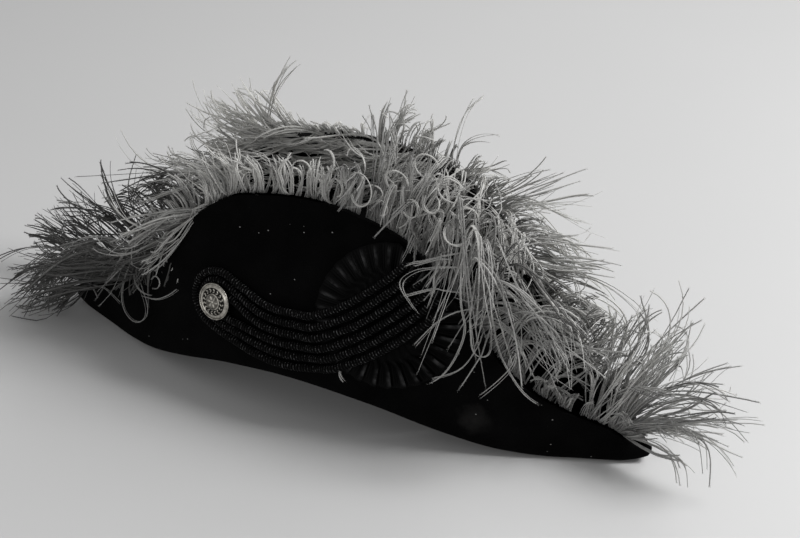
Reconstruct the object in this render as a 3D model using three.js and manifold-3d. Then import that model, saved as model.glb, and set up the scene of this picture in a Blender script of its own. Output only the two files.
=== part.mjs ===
// A bicorne: a felt hat whose brim is turned up into two tall flaps, dressed with a pleated cockade,
// three sewn cord loops, a button and a fringe of ostrich feather along the edge of each flap.
// Millimetres, +Z up. +X is the front point, and the near flap, with the cockade, is on the -Y side.
import * as THREE from 'three';
import Module from 'manifold-3d';
import { mergeVertices } from 'three/addons/utils/BufferGeometryUtils.js';

const wasm = await Module();
wasm.setup();

const { clamp, lerp, smoothstep } = THREE.MathUtils;
const NEAR = -1;
const FAR = 1;
const SEAT = 0.5; // clearance between a piece and the felt that it is sewn to
const DRESSED_MIDDLE = 12; // the origin is under the middle of the dressed hat, this far before the crown's

// Felt of the brim and the crown
const BRIM_FELT = 2.5;
const CROWN_FELT = 2;
const BOW = 6; // bulge of a full-height flap between its fold and its edge
const BOWED_HEIGHT = 108; // height from which a flap has the whole bow
const FOLD_RADIUS = 6;
const LEAST_RADIUS = 0.4;
const STATION_STEP = 18;
const FLAP_STEPS = 4;
const FOLD_STEPS = 3;

// Head opening and crown
const HEAD_HALF_LENGTH = 108;
const HEAD_HALF_WIDTH = 69;
const HEAD_SEAM = 0.3;
const HEAD_CUT_TOP = 52;
const HEAD_STEPS = 40;
const CROWN_TOP = 122;
const CROWN_FULLNESS = 2.35;
const CROWN_RISES = [0, 0.25, 0.48, 0.68, 0.85, 0.95, 1];
const CROWN_CAP = 0.1; // share of the opening that the flat cap of the crown takes

// Half-sections of the brim, from the middle of the hat to its points: half-width and height of the
// fold, half-width of the edges, and the height of the near and the far edge
const SECTIONS = [
  { along: 0, foldWidth: 76, foldHeight: 37, edgeWidth: 37, nearEdge: 152, farEdge: 168 },
  { along: 55, foldWidth: 68, foldHeight: 28.5, edgeWidth: 39, nearEdge: 144.5, farEdge: 160 },
  { along: 100, foldWidth: 57, foldHeight: 15.5, edgeWidth: 40.5, nearEdge: 114.5, farEdge: 128 },
  { along: 140, foldWidth: 41.5, foldHeight: 4, edgeWidth: 37.5, nearEdge: 63, farEdge: 72 },
  { along: 172, foldWidth: 26.5, foldHeight: 0, edgeWidth: 27.5, nearEdge: 39.5, farEdge: 43 },
  { along: 206, foldWidth: 12.5, foldHeight: 0, edgeWidth: 15, nearEdge: 24.5, farEdge: 26 },
  { along: 222, foldWidth: 6, foldHeight: 4, edgeWidth: 5, nearEdge: 11.5, farEdge: 12 },
  { along: 226, foldWidth: 3.6, foldHeight: 6, edgeWidth: 3.6, nearEdge: 9.5, farEdge: 9.5 },
];

// Cockade: a ring of knife pleats round a flat middle, sewn on the near flap
const COCKADE = { along: 64, height: 93, radius: 49, thickness: 2.6, pleat: 1.8 };
const COCKADE_RINGS = { core: 0.08, middle: 0.3, pleats: 0.37, body: 0.7, hem: 1 }; // shares of its radius
const PLEATS = 30;
const PLEAT_SHAPE = [0, 1]; // height of the pleat at its valley and its ridge
const COCKADE_EDGE_MARGIN = 2;
const FLAP_SLOPE = 0.95; // cosine of the lean of the near flap

// Cord loops: each runs down from the flap's edge, round the button and back
const CORD_RADIUS = 2.6;
const CORD_SIDES = 6;
const CORD_STEP = 10;
const CORD_SEAT = 0.4;
const CORD_OVER_COCKADE = { full: 50, none: 64 };
const TURN_STEPS = 6;
const LOOPS = [
  { name: 'loop_cord_inner', atButton: 8, atEdge: 3.7 },
  { name: 'loop_cord_middle', atButton: 14, atEdge: 11 },
  { name: 'loop_cord_outer', atButton: 20, atEdge: 18.4 },
];
const SPREAD_LENGTH = 40; // stretch beside the button over which the loops take their even spacing
const LOOP_LINE = [
  { along: -60.4, height: 75.2 },
  { along: -47, height: 71.3 },
  { along: -22, height: 66.3 },
  { along: 4.5, height: 66.9 },
  { along: 25.8, height: 71.7 },
  { along: 49.7, height: 84.9 },
  { along: 72.2, height: 103.2 },
  { along: 86.5, height: 118.2 },
];

// Button: a shank under a flat back, a raised rim and a shallow dome, turned about its own axis
const BUTTON_SIDES = 20;
const BUTTON_PROFILE = [
  { radius: 0, height: 0.5 },
  { radius: 3.5, height: 0.5 },
  { radius: 3.5, height: 6.2 },
  { radius: 11.4, height: 6.2 },
  { radius: 12.8, height: 7.4 },
  { radius: 12.6, height: 8.6 },
  { radius: 11.6, height: 9 },
  { radius: 10.8, height: 8.4 },
  { radius: 7.5, height: 9.5 },
  { radius: 3.8, height: 10.2 },
  { radius: 0, height: 10.4 },
];

// Feather fringe: a ribbon sewn inside each edge, and locks that rise from it, arch and fall.
// A lock starts at its place along the edge and rises in line with the flap. Bend and reach are its half-way
// point and its tip, along, out and up from the start; spread is the distance between the two locks of a row
const RIBBON = { above: 9, thickness: 4, tooth: 4.5, end: 214 };
const RIBBON_BELOW = { [NEAR]: 16, [FAR]: 34 }; // the far ribbon shows inside its taller flap
const RIBBON_WAVE = { length: 61, height: 3 };
const LOCK_FAN = [-0.5, 0.5]; // places of the two locks, as shares of the spread
const LOCK_LEAN = 0.1; // share of the reach along at the end of the rise
const HANGING_DROP = 60; // a lock whose tip is this far under its half-way point hangs over the edge
const LOCK_SHARES = [0, 0.14, 0.38, 0.62, 1]; // places along a lock at which its section is taken
const LOCK_ROOT = { above: 1, depth: 0.75, width: 5, thickness: 2.5 };
const LOCK_BODY = { at: 0.36, width: 8, thickness: 4 };
const LOCK_TIP = { width: 1.4, thickness: 1 };
const NEAR_LOCKS = [
  { along: -207, rise: 10, bend: [-14, 20, 1], reach: [-38, 30, -22], spread: 9 },
  { along: -200, rise: 12, bend: [-24, 12, 17], reach: [-53, 20, 8], spread: 10 },
  { along: -178, rise: 16, bend: [-26, 13, 24], reach: [-66, 19, 8], spread: 12 },
  { along: -150, rise: 16, bend: [-24, 12, 20], reach: [-62, 17, 8], spread: 12 },
  { along: -122, rise: 14, bend: [-24, 17, 2], reach: [-56, 24, -18], spread: 12 },
  { along: -98, rise: 14, bend: [-22, 19, -6], reach: [-50, 26, -38], spread: 11 },
  { along: -66, rise: 10, bend: [-7, 1, 17], reach: [-22, -2, 27], spread: 15 },
  { along: -8, rise: 10, bend: [0, 1, 16], reach: [0, -1, 28], spread: 26 },
  { along: 45, rise: 12, bend: [2, 0, 38], reach: [10, -12, 65], spread: 8 },
  { along: 66, rise: 12, bend: [11, -2, 38], reach: [26, -8, 62], spread: 8 },
  { along: 96, rise: 30, bend: [22, 12, 45], reach: [28, 38, -48], spread: 9 },
  { along: 109, rise: 30, bend: [28, 14, 46], reach: [46, 36, -38], spread: 9 },
  { along: 126, rise: 30, bend: [31, 12, 54], reach: [58, 30, 4], spread: 10 },
  { along: 148, rise: 26, bend: [28, 8, 43], reach: [62, 18, 22], spread: 13 },
  { along: 199, rise: 18, bend: [15, -2, 37], reach: [38, -2, 70], spread: 12 },
  { along: 208, rise: 14, bend: [38, 10, 32], reach: [74, 15, 40], spread: 10 },
];
const FAR_LOCKS = [
  { along: -205, rise: 12, bend: [-30, 4, 16], reach: [-50, 8, 24], spread: 10 },
  { along: -176, rise: 18, bend: [-30, 2, 33], reach: [-48, 6, 66], spread: 6 },
  { along: -150, rise: 16, bend: [-26, 4, 22], reach: [-58, 10, 8], spread: 13 },
  { along: -116, rise: 16, bend: [-49, 4, -8], reach: [-94, 8, -50], spread: 9 },
  { along: -85, rise: 16, bend: [-44, 3, -3], reach: [-74, 5, 12], spread: 14 },
  { along: -67, rise: 16, bend: [-22, 2, 13], reach: [-38, 4, 29], spread: 8 },
  { along: -58, rise: 18, bend: [-14, 2, 20], reach: [4, 4, 52], spread: 4 },
  { along: -36, rise: 24, bend: [-8, 28, -4], reach: [-18, 47, -58], spread: 12 },
  { along: 15, rise: 14, bend: [4, 2, 18], reach: [13, 4, 36], spread: 13 },
  { along: 46, rise: 24, bend: [8, 28, -4], reach: [16, 47, -58], spread: 12 },
  { along: 84, rise: 16, bend: [22, 8, 11], reach: [50, 14, 24], spread: 14 },
  { along: 106, rise: 16, bend: [26, 14, 0], reach: [54, 24, -24], spread: 10 },
  { along: 122, rise: 16, bend: [28, 12, -1], reach: [60, 18, -12], spread: 11 },
  { along: 152, rise: 16, bend: [18, 6, 12], reach: [32, 10, 16], spread: 13 },
  { along: 182, rise: 16, bend: [14, 4, 30], reach: [22, 6, 66], spread: 12 },
  { along: 200, rise: 16, bend: [25, 6, 46], reach: [52, 8, 86], spread: 7 },
  { along: 206, rise: 12, bend: [32, 8, 25], reach: [64, 12, 42], spread: 8 },
];

const FELT_BLACK = { color: 0x141416, roughness: 0.95, metalness: 0 };
const RIBBON_BLACK = { color: 0x101012, roughness: 0.6, metalness: 0 };
const CORD_BLACK = { color: 0x18181a, roughness: 0.55, metalness: 0 };
const GILT = { color: 0xb09c6a, roughness: 0.35, metalness: 1 };
const FEATHER_GREY = { color: 0xc9c8c2, roughness: 0.8, metalness: 0 };

// A mesh under its node's name, with a material of its own
function piece(name, geometry, look) {
  const mesh = new THREE.Mesh(geometry, new THREE.MeshStandardMaterial(look));
  mesh.name = name;
  return mesh;
}

// Slope of one column at a row, kept flat where the column turns, so that it never overshoots
function slopeAt(row, column) {
  const last = SECTIONS.length - 1;
  const run = (i) => SECTIONS[i + 1].along - SECTIONS[i].along;
  const grade = (i) => (SECTIONS[i + 1][column] - SECTIONS[i][column]) / run(i);
  if (row === 0) return 0;
  if (row === last) return grade(last - 1);
  const before = grade(row - 1);
  const after = grade(row);
  if (before * after <= 0) return 0;
  const early = 2 * run(row) + run(row - 1);
  const late = run(row) + 2 * run(row - 1);
  return (early + late) / (early / before + late / after);
}

// One column of the sections at any place along the hat, which is the same on both sides of its middle
function column(name, x) {
  const along = Math.min(Math.abs(x), SECTIONS.at(-1).along);
  const row = Math.max(SECTIONS.findIndex((s) => s.along >= along) - 1, 0);
  const [a, b] = [SECTIONS[row], SECTIONS[row + 1]];
  const run = b.along - a.along;
  const t = (along - a.along) / run;
  const rise = t * t * (3 - 2 * t);
  const leave = t * (1 - t) * (1 - t) * run * slopeAt(row, name);
  const arrive = t * t * (t - 1) * run * slopeAt(row + 1, name);
  return lerp(a[name], b[name], rise) + leave + arrive;
}

function edgeHeight(side, x) {
  return column(side === NEAR ? 'nearEdge' : 'farEdge', x);
}

// Half-width of a flap's outer face at a height
function flapWidth(side, x, z) {
  const fold = column('foldHeight', x);
  const height = edgeHeight(side, x) - fold;
  const share = (z - fold) / height;
  const bow = BOW * Math.min(height / BOWED_HEIGHT, 1);
  const bulge = bow * 4 * Math.max(share * (1 - share), 0);
  return lerp(column('foldWidth', x), column('edgeWidth', x), share) + bulge;
}

// Outward direction of a flap's face
function flapNormal(side, x, z) {
  const d = 1;
  const acrossX = side * (flapWidth(side, x + d, z) - flapWidth(side, x - d, z));
  const acrossZ = side * (flapWidth(side, x, z + d) - flapWidth(side, x, z - d));
  const alongX = new THREE.Vector3(2 * d, acrossX, 0);
  const alongZ = new THREE.Vector3(0, acrossZ, 2 * d);
  return alongX.cross(alongZ).normalize().multiplyScalar(-side);
}

// Point at a distance out from a flap's outer face
function onFlap(side, x, z, out) {
  const base = new THREE.Vector3(x, side * flapWidth(side, x, z), z);
  return base.addScaledVector(flapNormal(side, x, z), out);
}

// Closed body through a row of closed loops with equally many points, with its two ends capped
function loft(loops, cap = fan) {
  const count = loops[0].length;
  const index = [];
  for (let i = 0; i + 1 < loops.length; i++) {
    for (let j = 0; j < count; j++) {
      const a = i * count + j;
      const b = i * count + ((j + 1) % count);
      index.push(a, b, b + count, a, b + count, a + count);
    }
  }
  const last = (loops.length - 1) * count;
  for (const [a, b, c] of cap(loops[0])) index.push(a, c, b);
  for (const [a, b, c] of cap(loops.at(-1))) index.push(last + a, last + b, last + c);
  const geometry = new THREE.BufferGeometry().setFromPoints(loops.flat());
  geometry.setIndex(index);
  return facingOut(geometry);
}

// Triangles of a round end, from its first point
function fan(loop) {
  return loop.slice(2).map((_, i) => [0, i + 1, i + 2]);
}

// Triangles of the trough-shaped end of the brim
function troughEnd(loop) {
  return THREE.ShapeUtils.triangulateShape(loop.map((p) => new THREE.Vector2(p.y, p.z)), []);
}

// The same body with its faces turned out, by the sign of its volume
function facingOut(geometry) {
  const at = geometry.getAttribute('position');
  const index = geometry.getIndex().array;
  const corner = (i) => new THREE.Vector3().fromBufferAttribute(at, index[i]);
  let volume = 0;
  for (let i = 0; i < index.length; i += 3) {
    volume += corner(i).dot(corner(i + 1).cross(corner(i + 2)));
  }
  if (volume < 0) index.reverse();
  return geometry;
}

function toSolid(geometry) {
  const bare = geometry.clone();
  bare.deleteAttribute('normal');
  bare.deleteAttribute('uv');
  const merged = mergeVertices(bare);
  return new wasm.Manifold(new wasm.Mesh({
    numProp: 3,
    vertProperties: new Float32Array(merged.getAttribute('position').array),
    triVerts: new Uint32Array(merged.getIndex().array),
  }));
}

function toGeometry(solid) {
  const mesh = solid.getMesh();
  const geometry = new THREE.BufferGeometry();
  geometry.setAttribute('position', new THREE.BufferAttribute(mesh.vertProperties, 3));
  geometry.setIndex(new THREE.BufferAttribute(mesh.triVerts, 1));
  return geometry;
}

// Places along the hat at which its sections are taken, with every row of the table among them
function stations(end) {
  const half = [0];
  for (let row = 1; row < SECTIONS.length; row++) {
    const start = SECTIONS[row - 1].along;
    const stop = Math.min(SECTIONS[row].along, end);
    const steps = Math.ceil((stop - start) / STATION_STEP);
    for (let i = 1; i <= steps; i++) half.push(lerp(start, stop, i / steps));
  }
  return [...half.slice(1).reverse().map((x) => -x), ...half];
}

// One side of the brim's wall from its edge down to the middle of the underside, as points [y, z]
function wallSide(side, x, inset) {
  const fold = column('foldHeight', x);
  const edge = edgeHeight(side, x);
  const lean = (column('foldWidth', x) - column('edgeWidth', x)) / (edge - fold);
  const width = (z) => flapWidth(side, x, z) - inset * Math.hypot(1, lean);
  const largest = Math.min(FOLD_RADIUS, column('foldWidth', x) / 2, (edge - fold) / 2);
  const radius = Math.max(largest - inset, LEAST_RADIUS);
  const floor = fold + inset;
  const points = [];
  for (let i = 0; i < FLAP_STEPS; i++) {
    const z = lerp(edge, floor + radius, i / FLAP_STEPS);
    points.push([side * width(z), z]);
  }
  const start = new THREE.Vector2(side * width(floor + radius), floor + radius);
  const corner = new THREE.Vector2(side * width(floor), floor);
  const stop = new THREE.Vector2(side * (width(floor) - radius), floor);
  const turn = new THREE.QuadraticBezierCurve(start, corner, stop);
  points.push(...turn.getPoints(FOLD_STEPS).map((p) => p.toArray()));
  return points;
}

function brimSection(x) {
  const outer = [...wallSide(NEAR, x, 0), ...wallSide(FAR, x, 0).reverse()];
  const inner = [...wallSide(NEAR, x, BRIM_FELT), ...wallSide(FAR, x, BRIM_FELT).reverse()];
  return [...outer, ...inner.reverse()].map(([y, z]) => new THREE.Vector3(x, y, z));
}

// Point of the head opening, at a share of its size
function headOval(step, share, grow) {
  const angle = (step / HEAD_STEPS) * 2 * Math.PI;
  const x = (HEAD_HALF_LENGTH + grow) * share * Math.cos(angle);
  const y = (HEAD_HALF_WIDTH + grow) * share * Math.sin(angle);
  return new THREE.Vector2(x, y);
}

function headSteps(make) {
  return Array.from({ length: HEAD_STEPS }, (_, step) => make(step));
}

function brim() {
  const shell = loft(stations(SECTIONS.at(-1).along).map(brimSection), troughEnd);
  const outline = new THREE.Shape(headSteps((step) => headOval(step, 1, HEAD_SEAM)));
  const opening = new THREE.ExtrudeGeometry(outline, { depth: 2 * HEAD_CUT_TOP, bevelEnabled: false });
  opening.translate(0, 0, -HEAD_CUT_TOP);
  return toGeometry(toSolid(shell).subtract(toSolid(opening)));
}

// Ring of the crown's wall; its lower rim follows the underside of the brim
function crownRing(rise, inset) {
  const share = Math.max((1 - rise ** CROWN_FULLNESS) ** (1 / CROWN_FULLNESS), CROWN_CAP);
  return headSteps((step) => {
    const rim = column('foldHeight', headOval(step, 1, 0).x);
    const flat = headOval(step, share, -inset);
    return new THREE.Vector3(flat.x, flat.y, lerp(rim, CROWN_TOP - inset, rise));
  });
}

function crown() {
  const outer = CROWN_RISES.map((rise) => crownRing(rise, 0));
  const inner = CROWN_RISES.map((rise) => crownRing(rise, CROWN_FELT));
  return loft([...outer.reverse(), ...inner]);
}

// Ring of the cockade at a share of its radius, which stops short of the flap's edge
function cockadeRing(share, height) {
  const turns = PLEATS * PLEAT_SHAPE.length;
  return Array.from({ length: turns }, (_, step) => {
    const angle = (step / turns) * 2 * Math.PI;
    const place = (r) => ({
      x: COCKADE.along + r * Math.cos(angle),
      z: COCKADE.height + r * FLAP_SLOPE * Math.sin(angle),
    });
    const beyond = ({ x, z }) => z > edgeHeight(NEAR, x) - COCKADE_EDGE_MARGIN;
    let reach = COCKADE.radius;
    while (beyond(place(reach))) reach -= 1;
    const { x, z } = place(share * reach);
    return onFlap(NEAR, x, z, SEAT + height(PLEAT_SHAPE[step % PLEAT_SHAPE.length]));
  });
}

function cockade() {
  const { thickness, pleat } = COCKADE;
  const { core, middle, pleats, body, hem } = COCKADE_RINGS;
  const flat = () => thickness;
  const pleated = (rise) => thickness + pleat * rise;
  const hemmed = (rise) => thickness / 2 + pleat * rise;
  const sewn = () => 0;
  return loft([
    cockadeRing(core, flat),
    cockadeRing(middle, flat),
    cockadeRing(pleats, pleated),
    cockadeRing(body, pleated),
    cockadeRing(hem, hemmed),
    cockadeRing(hem, sewn),
    cockadeRing(body, sewn),
    cockadeRing(middle, sewn),
    cockadeRing(core, sewn),
  ]);
}

// Height of a cord's middle over the felt, raised where it crosses the cockade
function cordHeight(x, z) {
  const away = Math.hypot(x - COCKADE.along, (z - COCKADE.height) / FLAP_SLOPE);
  const over = 1 - smoothstep(away, CORD_OVER_COCKADE.full, CORD_OVER_COCKADE.none);
  const cover = COCKADE.thickness + COCKADE.pleat + SEAT;
  return CORD_RADIUS + CORD_SEAT + cover * over;
}

// One cord loop: its upper run towards the button, the turn round it and the lower run back
function loopCord({ atButton, atEdge }) {
  const marks = LOOP_LINE.map((p) => new THREE.Vector2(p.along, p.height / FLAP_SLOPE));
  const line = new THREE.SplineCurve(marks);
  const length = line.getLength();
  const steps = Math.round(length / CORD_STEP);
  const beside = (share, hand) => {
    const middle = line.getPointAt(share);
    const tangent = line.getTangentAt(share);
    const offset = lerp(atButton, atEdge, smoothstep(share * length, 0, SPREAD_LENGTH));
    return middle.add(new THREE.Vector2(-tangent.y, tangent.x).multiplyScalar(hand * offset));
  };
  const button = line.getPointAt(0);
  const heading = line.getTangentAt(0).angle();
  const flat = [];
  for (let i = steps; i >= 0; i--) flat.push(beside(i / steps, 1));
  for (let i = 1; i < TURN_STEPS; i++) {
    const angle = heading + Math.PI * (0.5 + i / TURN_STEPS);
    flat.push(new THREE.Vector2(Math.cos(angle), Math.sin(angle)).multiplyScalar(atButton).add(button));
  }
  for (let i = 0; i <= steps; i++) flat.push(beside(i / steps, -1));
  const route = flat.map(({ x, y }) => onFlap(NEAR, x, y * FLAP_SLOPE, cordHeight(x, y * FLAP_SLOPE)));
  const round = new THREE.EllipseCurve(0, 0, CORD_RADIUS, CORD_RADIUS).getPoints(CORD_SIDES);
  return new THREE.ExtrudeGeometry(new THREE.Shape(round.slice(1)), {
    steps: route.length - 1,
    extrudePath: new THREE.CatmullRomCurve3(route),
  });
}

function button() {
  const profile = BUTTON_PROFILE.map((p) => new THREE.Vector2(p.radius, p.height));
  return new THREE.LatheGeometry(profile, BUTTON_SIDES);
}

// Section of the ribbon that the feathers are sewn to, with a toothed upper edge
function ribbonSection(side, x, step) {
  const edge = edgeHeight(side, x);
  const wave = RIBBON_WAVE.height * Math.sin((2 * Math.PI * x) / RIBBON_WAVE.length);
  const tooth = step % 2 === 0 ? RIBBON.tooth : -RIBBON.tooth;
  const lowest = column('foldHeight', x) + BRIM_FELT + SEAT + FOLD_RADIUS / 2;
  const low = Math.max(edge - RIBBON_BELOW[side], lowest);
  const high = edge + RIBBON.above + wave + tooth;
  const outer = -BRIM_FELT - SEAT;
  return [
    onFlap(side, x, low, outer),
    onFlap(side, x, high, outer - RIBBON.thickness),
    onFlap(side, x, low, outer - RIBBON.thickness),
  ];
}

// Size of a lock at a share of its length, fullest a little above its root
function lockSize(t, size) {
  const full = LOCK_BODY.at;
  if (t < full) return lerp(LOCK_ROOT[size], LOCK_BODY[size], t / full);
  return lerp(LOCK_BODY[size], LOCK_TIP[size], (t - full) / (1 - full));
}

// One lock: a flat tapering body along a curve that leaves the ribbon in line with the flap.
// A lock that hangs lies flat against the flap, and any other stands on edge in line with it
function lock(side, { along, rise, bend, reach, spread }, hand) {
  const last = RIBBON.end - LOCK_ROOT.width;
  const x = clamp(along + hand * spread, -last, last);
  const edge = edgeHeight(side, x);
  const middle = -BRIM_FELT - SEAT - RIBBON.thickness * LOCK_ROOT.depth;
  const root = onFlap(side, x, edge + LOCK_ROOT.above, middle);
  const from = ([a, out, up], fanned) => root.clone().add(new THREE.Vector3(a + fanned, side * out, up));
  const halfWay = from(bend, (hand * spread) / 2);
  const tip = from(reach, hand * spread);
  const risen = onFlap(side, lerp(x, tip.x, LOCK_LEAN), edge + rise, middle);
  const late = halfWay.multiplyScalar(8).sub(root).sub(tip).divideScalar(3).sub(risen);
  const curve = new THREE.CubicBezierCurve3(root, risen, late, tip);
  const hangs = bend[2] - reach[2] > HANGING_DROP;
  const sections = LOCK_SHARES.map((t) => {
    const ahead = curve.getTangent(t);
    const thin = hangs ? ahead.clone().cross(new THREE.Vector3(1, 0, 0)) : new THREE.Vector3(0, 1, 0);
    const wide = thin.clone().cross(ahead).normalize();
    const ridge = ahead.clone().cross(wide).multiplyScalar(-side * lockSize(t, 'thickness'));
    wide.multiplyScalar(lockSize(t, 'width'));
    const at = curve.getPoint(t);
    return [at.clone().add(wide), at.clone().sub(wide), at.clone().add(ridge)];
  });
  return loft(sections);
}

function featherTrim(side, locks) {
  const ribbon = loft(stations(RIBBON.end).map((x, step) => ribbonSection(side, x, step)));
  const solids = locks.flatMap((row) => LOCK_FAN.map((hand) => toSolid(lock(side, row, hand))));
  return toGeometry(solids.reduce((all, one) => all.add(one), toSolid(ribbon)));
}

const hat = new THREE.Group();
hat.add(piece('brim', brim(), FELT_BLACK));
hat.add(piece('crown', crown(), FELT_BLACK));
hat.add(piece('cockade', cockade(), RIBBON_BLACK));
for (const loop of LOOPS) hat.add(piece(loop.name, loopCord(loop), CORD_BLACK));

const buttonMesh = piece('button', button(), GILT);
const { along: buttonAlong, height: buttonHeight } = LOOP_LINE[0];
buttonMesh.position.copy(onFlap(NEAR, buttonAlong, buttonHeight, 0));
buttonMesh.quaternion.setFromUnitVectors(
  new THREE.Vector3(0, 1, 0),
  flapNormal(NEAR, buttonAlong, buttonHeight),
);
hat.add(buttonMesh);

hat.add(piece('feather_trim_near', featherTrim(NEAR, NEAR_LOCKS), FEATHER_GREY));
hat.add(piece('feather_trim_far', featherTrim(FAR, FAR_LOCKS), FEATHER_GREY));

hat.position.x = -DRESSED_MIDDLE;

export default hat;
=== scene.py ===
"""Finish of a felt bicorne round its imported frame: felt body, cockade, gimp loops, button and feathers.

Metres, +Z up. +X is the front point, and the near flap, with the cockade, is on the -Y side.
"""

import math
from collections import namedtuple

import bmesh
import bpy
import numpy as np
from bpy.props import FloatProperty, FloatVectorProperty, IntProperty, PointerProperty
from mathutils import Matrix, Vector


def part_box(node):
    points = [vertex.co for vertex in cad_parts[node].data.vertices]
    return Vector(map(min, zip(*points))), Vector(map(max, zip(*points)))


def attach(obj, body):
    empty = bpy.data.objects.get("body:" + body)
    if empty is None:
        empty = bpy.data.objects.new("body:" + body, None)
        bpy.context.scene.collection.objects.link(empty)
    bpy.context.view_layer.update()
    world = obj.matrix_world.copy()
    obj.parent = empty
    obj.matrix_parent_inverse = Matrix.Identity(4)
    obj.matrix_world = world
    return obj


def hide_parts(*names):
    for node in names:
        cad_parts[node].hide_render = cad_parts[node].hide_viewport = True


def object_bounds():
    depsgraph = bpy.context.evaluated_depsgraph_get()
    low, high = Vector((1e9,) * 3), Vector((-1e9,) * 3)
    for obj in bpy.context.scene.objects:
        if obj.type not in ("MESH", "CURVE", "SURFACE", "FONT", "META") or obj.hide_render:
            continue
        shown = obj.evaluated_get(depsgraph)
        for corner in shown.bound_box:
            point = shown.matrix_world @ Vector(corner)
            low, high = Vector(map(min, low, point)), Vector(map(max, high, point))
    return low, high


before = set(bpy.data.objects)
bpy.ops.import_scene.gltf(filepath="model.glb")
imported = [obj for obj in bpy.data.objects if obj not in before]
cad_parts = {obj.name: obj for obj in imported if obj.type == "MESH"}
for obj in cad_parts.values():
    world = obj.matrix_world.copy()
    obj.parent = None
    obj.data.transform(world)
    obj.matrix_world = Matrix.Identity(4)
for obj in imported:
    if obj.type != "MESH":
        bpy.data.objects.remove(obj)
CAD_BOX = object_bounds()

bl_info = {
    "name": "Bicorne finish",
    "version": (1, 0, 0),
    "blender": (4, 5, 0),
    "location": "View3D > Sidebar > Bicorne",
    "description": "Makes the felt, cockade, gimp loops, button and feather fringe of a bicorne",
    "category": "Object",
}

MM = 0.001
NEAR = -1
FAR = 1
BODY = "root"
BRIM_LOW, BRIM_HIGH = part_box("brim")
MIDDLE = (BRIM_LOW.x + BRIM_HIGH.x) / 2  # places along the hat are measured from the middle of its felt
POINT = (BRIM_HIGH.x - BRIM_LOW.x) / 2  # from the middle to either point
WHOLE_TURN = 2 * math.pi
SPAN_STEPS = 24  # points of a smooth curve from each of its marks to the next

# Half-sections of the brim from the middle to a point, in millimetres
SECTION_COLUMNS = ("along", "fold_width", "fold_height", "edge_width", "near_edge", "far_edge")
SECTIONS = MM * np.array([
    (0, 76, 37, 37, 152, 168),
    (55, 68, 28.5, 39, 144.5, 160),
    (100, 57, 15.5, 40.5, 114.5, 128),
    (140, 41.5, 4, 37.5, 63, 72),
    (172, 26.5, 0, 27.5, 39.5, 43),
    (206, 12.5, 0, 15, 24.5, 26),
    (222, 6, 4, 5, 11.5, 12),
    (226, 3.6, 6, 3.6, 9.5, 9.5),
])
BOW = 6 * MM
BOWED_HEIGHT = 108 * MM
FOLD_RADIUS = 6 * MM

# Head opening and crown
HEAD_HALF_LENGTH = 108 * MM
HEAD_HALF_WIDTH = 69 * MM
HEAD_SEAM = 0.3 * MM
CROWN_TOP = 122 * MM
CROWN_FULLNESS = 2.35

# Cockade on the near flap, and how the cords climb over it
COCKADE_ALONG = 64 * MM
COCKADE_HEIGHT = 93 * MM
COCKADE_RADIUS = 49 * MM
COCKADE_THICKNESS = 4.9 * MM
COCKADE_EDGE_MARGIN = 2 * MM
FLAP_SLOPE = 0.95  # cosine of the lean of the near flap
CORD_RADIUS = 2.6 * MM
CORD_SEAT = 0.4 * MM
CORD_OVER_FULL = 50 * MM
CORD_OVER_NONE = 64 * MM
SPREAD_LENGTH = 40 * MM

# Loops of cord: distance from their middle line beside the button and at the flap's edge
Loop = namedtuple("Loop", "name at_button at_edge")
LOOPS = (
    Loop("loop_cord_inner", 8 * MM, 3.7 * MM),
    Loop("loop_cord_middle", 14 * MM, 11 * MM),
    Loop("loop_cord_outer", 20 * MM, 18.4 * MM),
)
LOOP_LINE = MM * np.array([
    (-60.4, 75.2),
    (-47, 71.3),
    (-22, 66.3),
    (4.5, 66.9),
    (25.8, 71.7),
    (49.7, 84.9),
    (72.2, 103.2),
    (86.5, 118.2),
])

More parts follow.
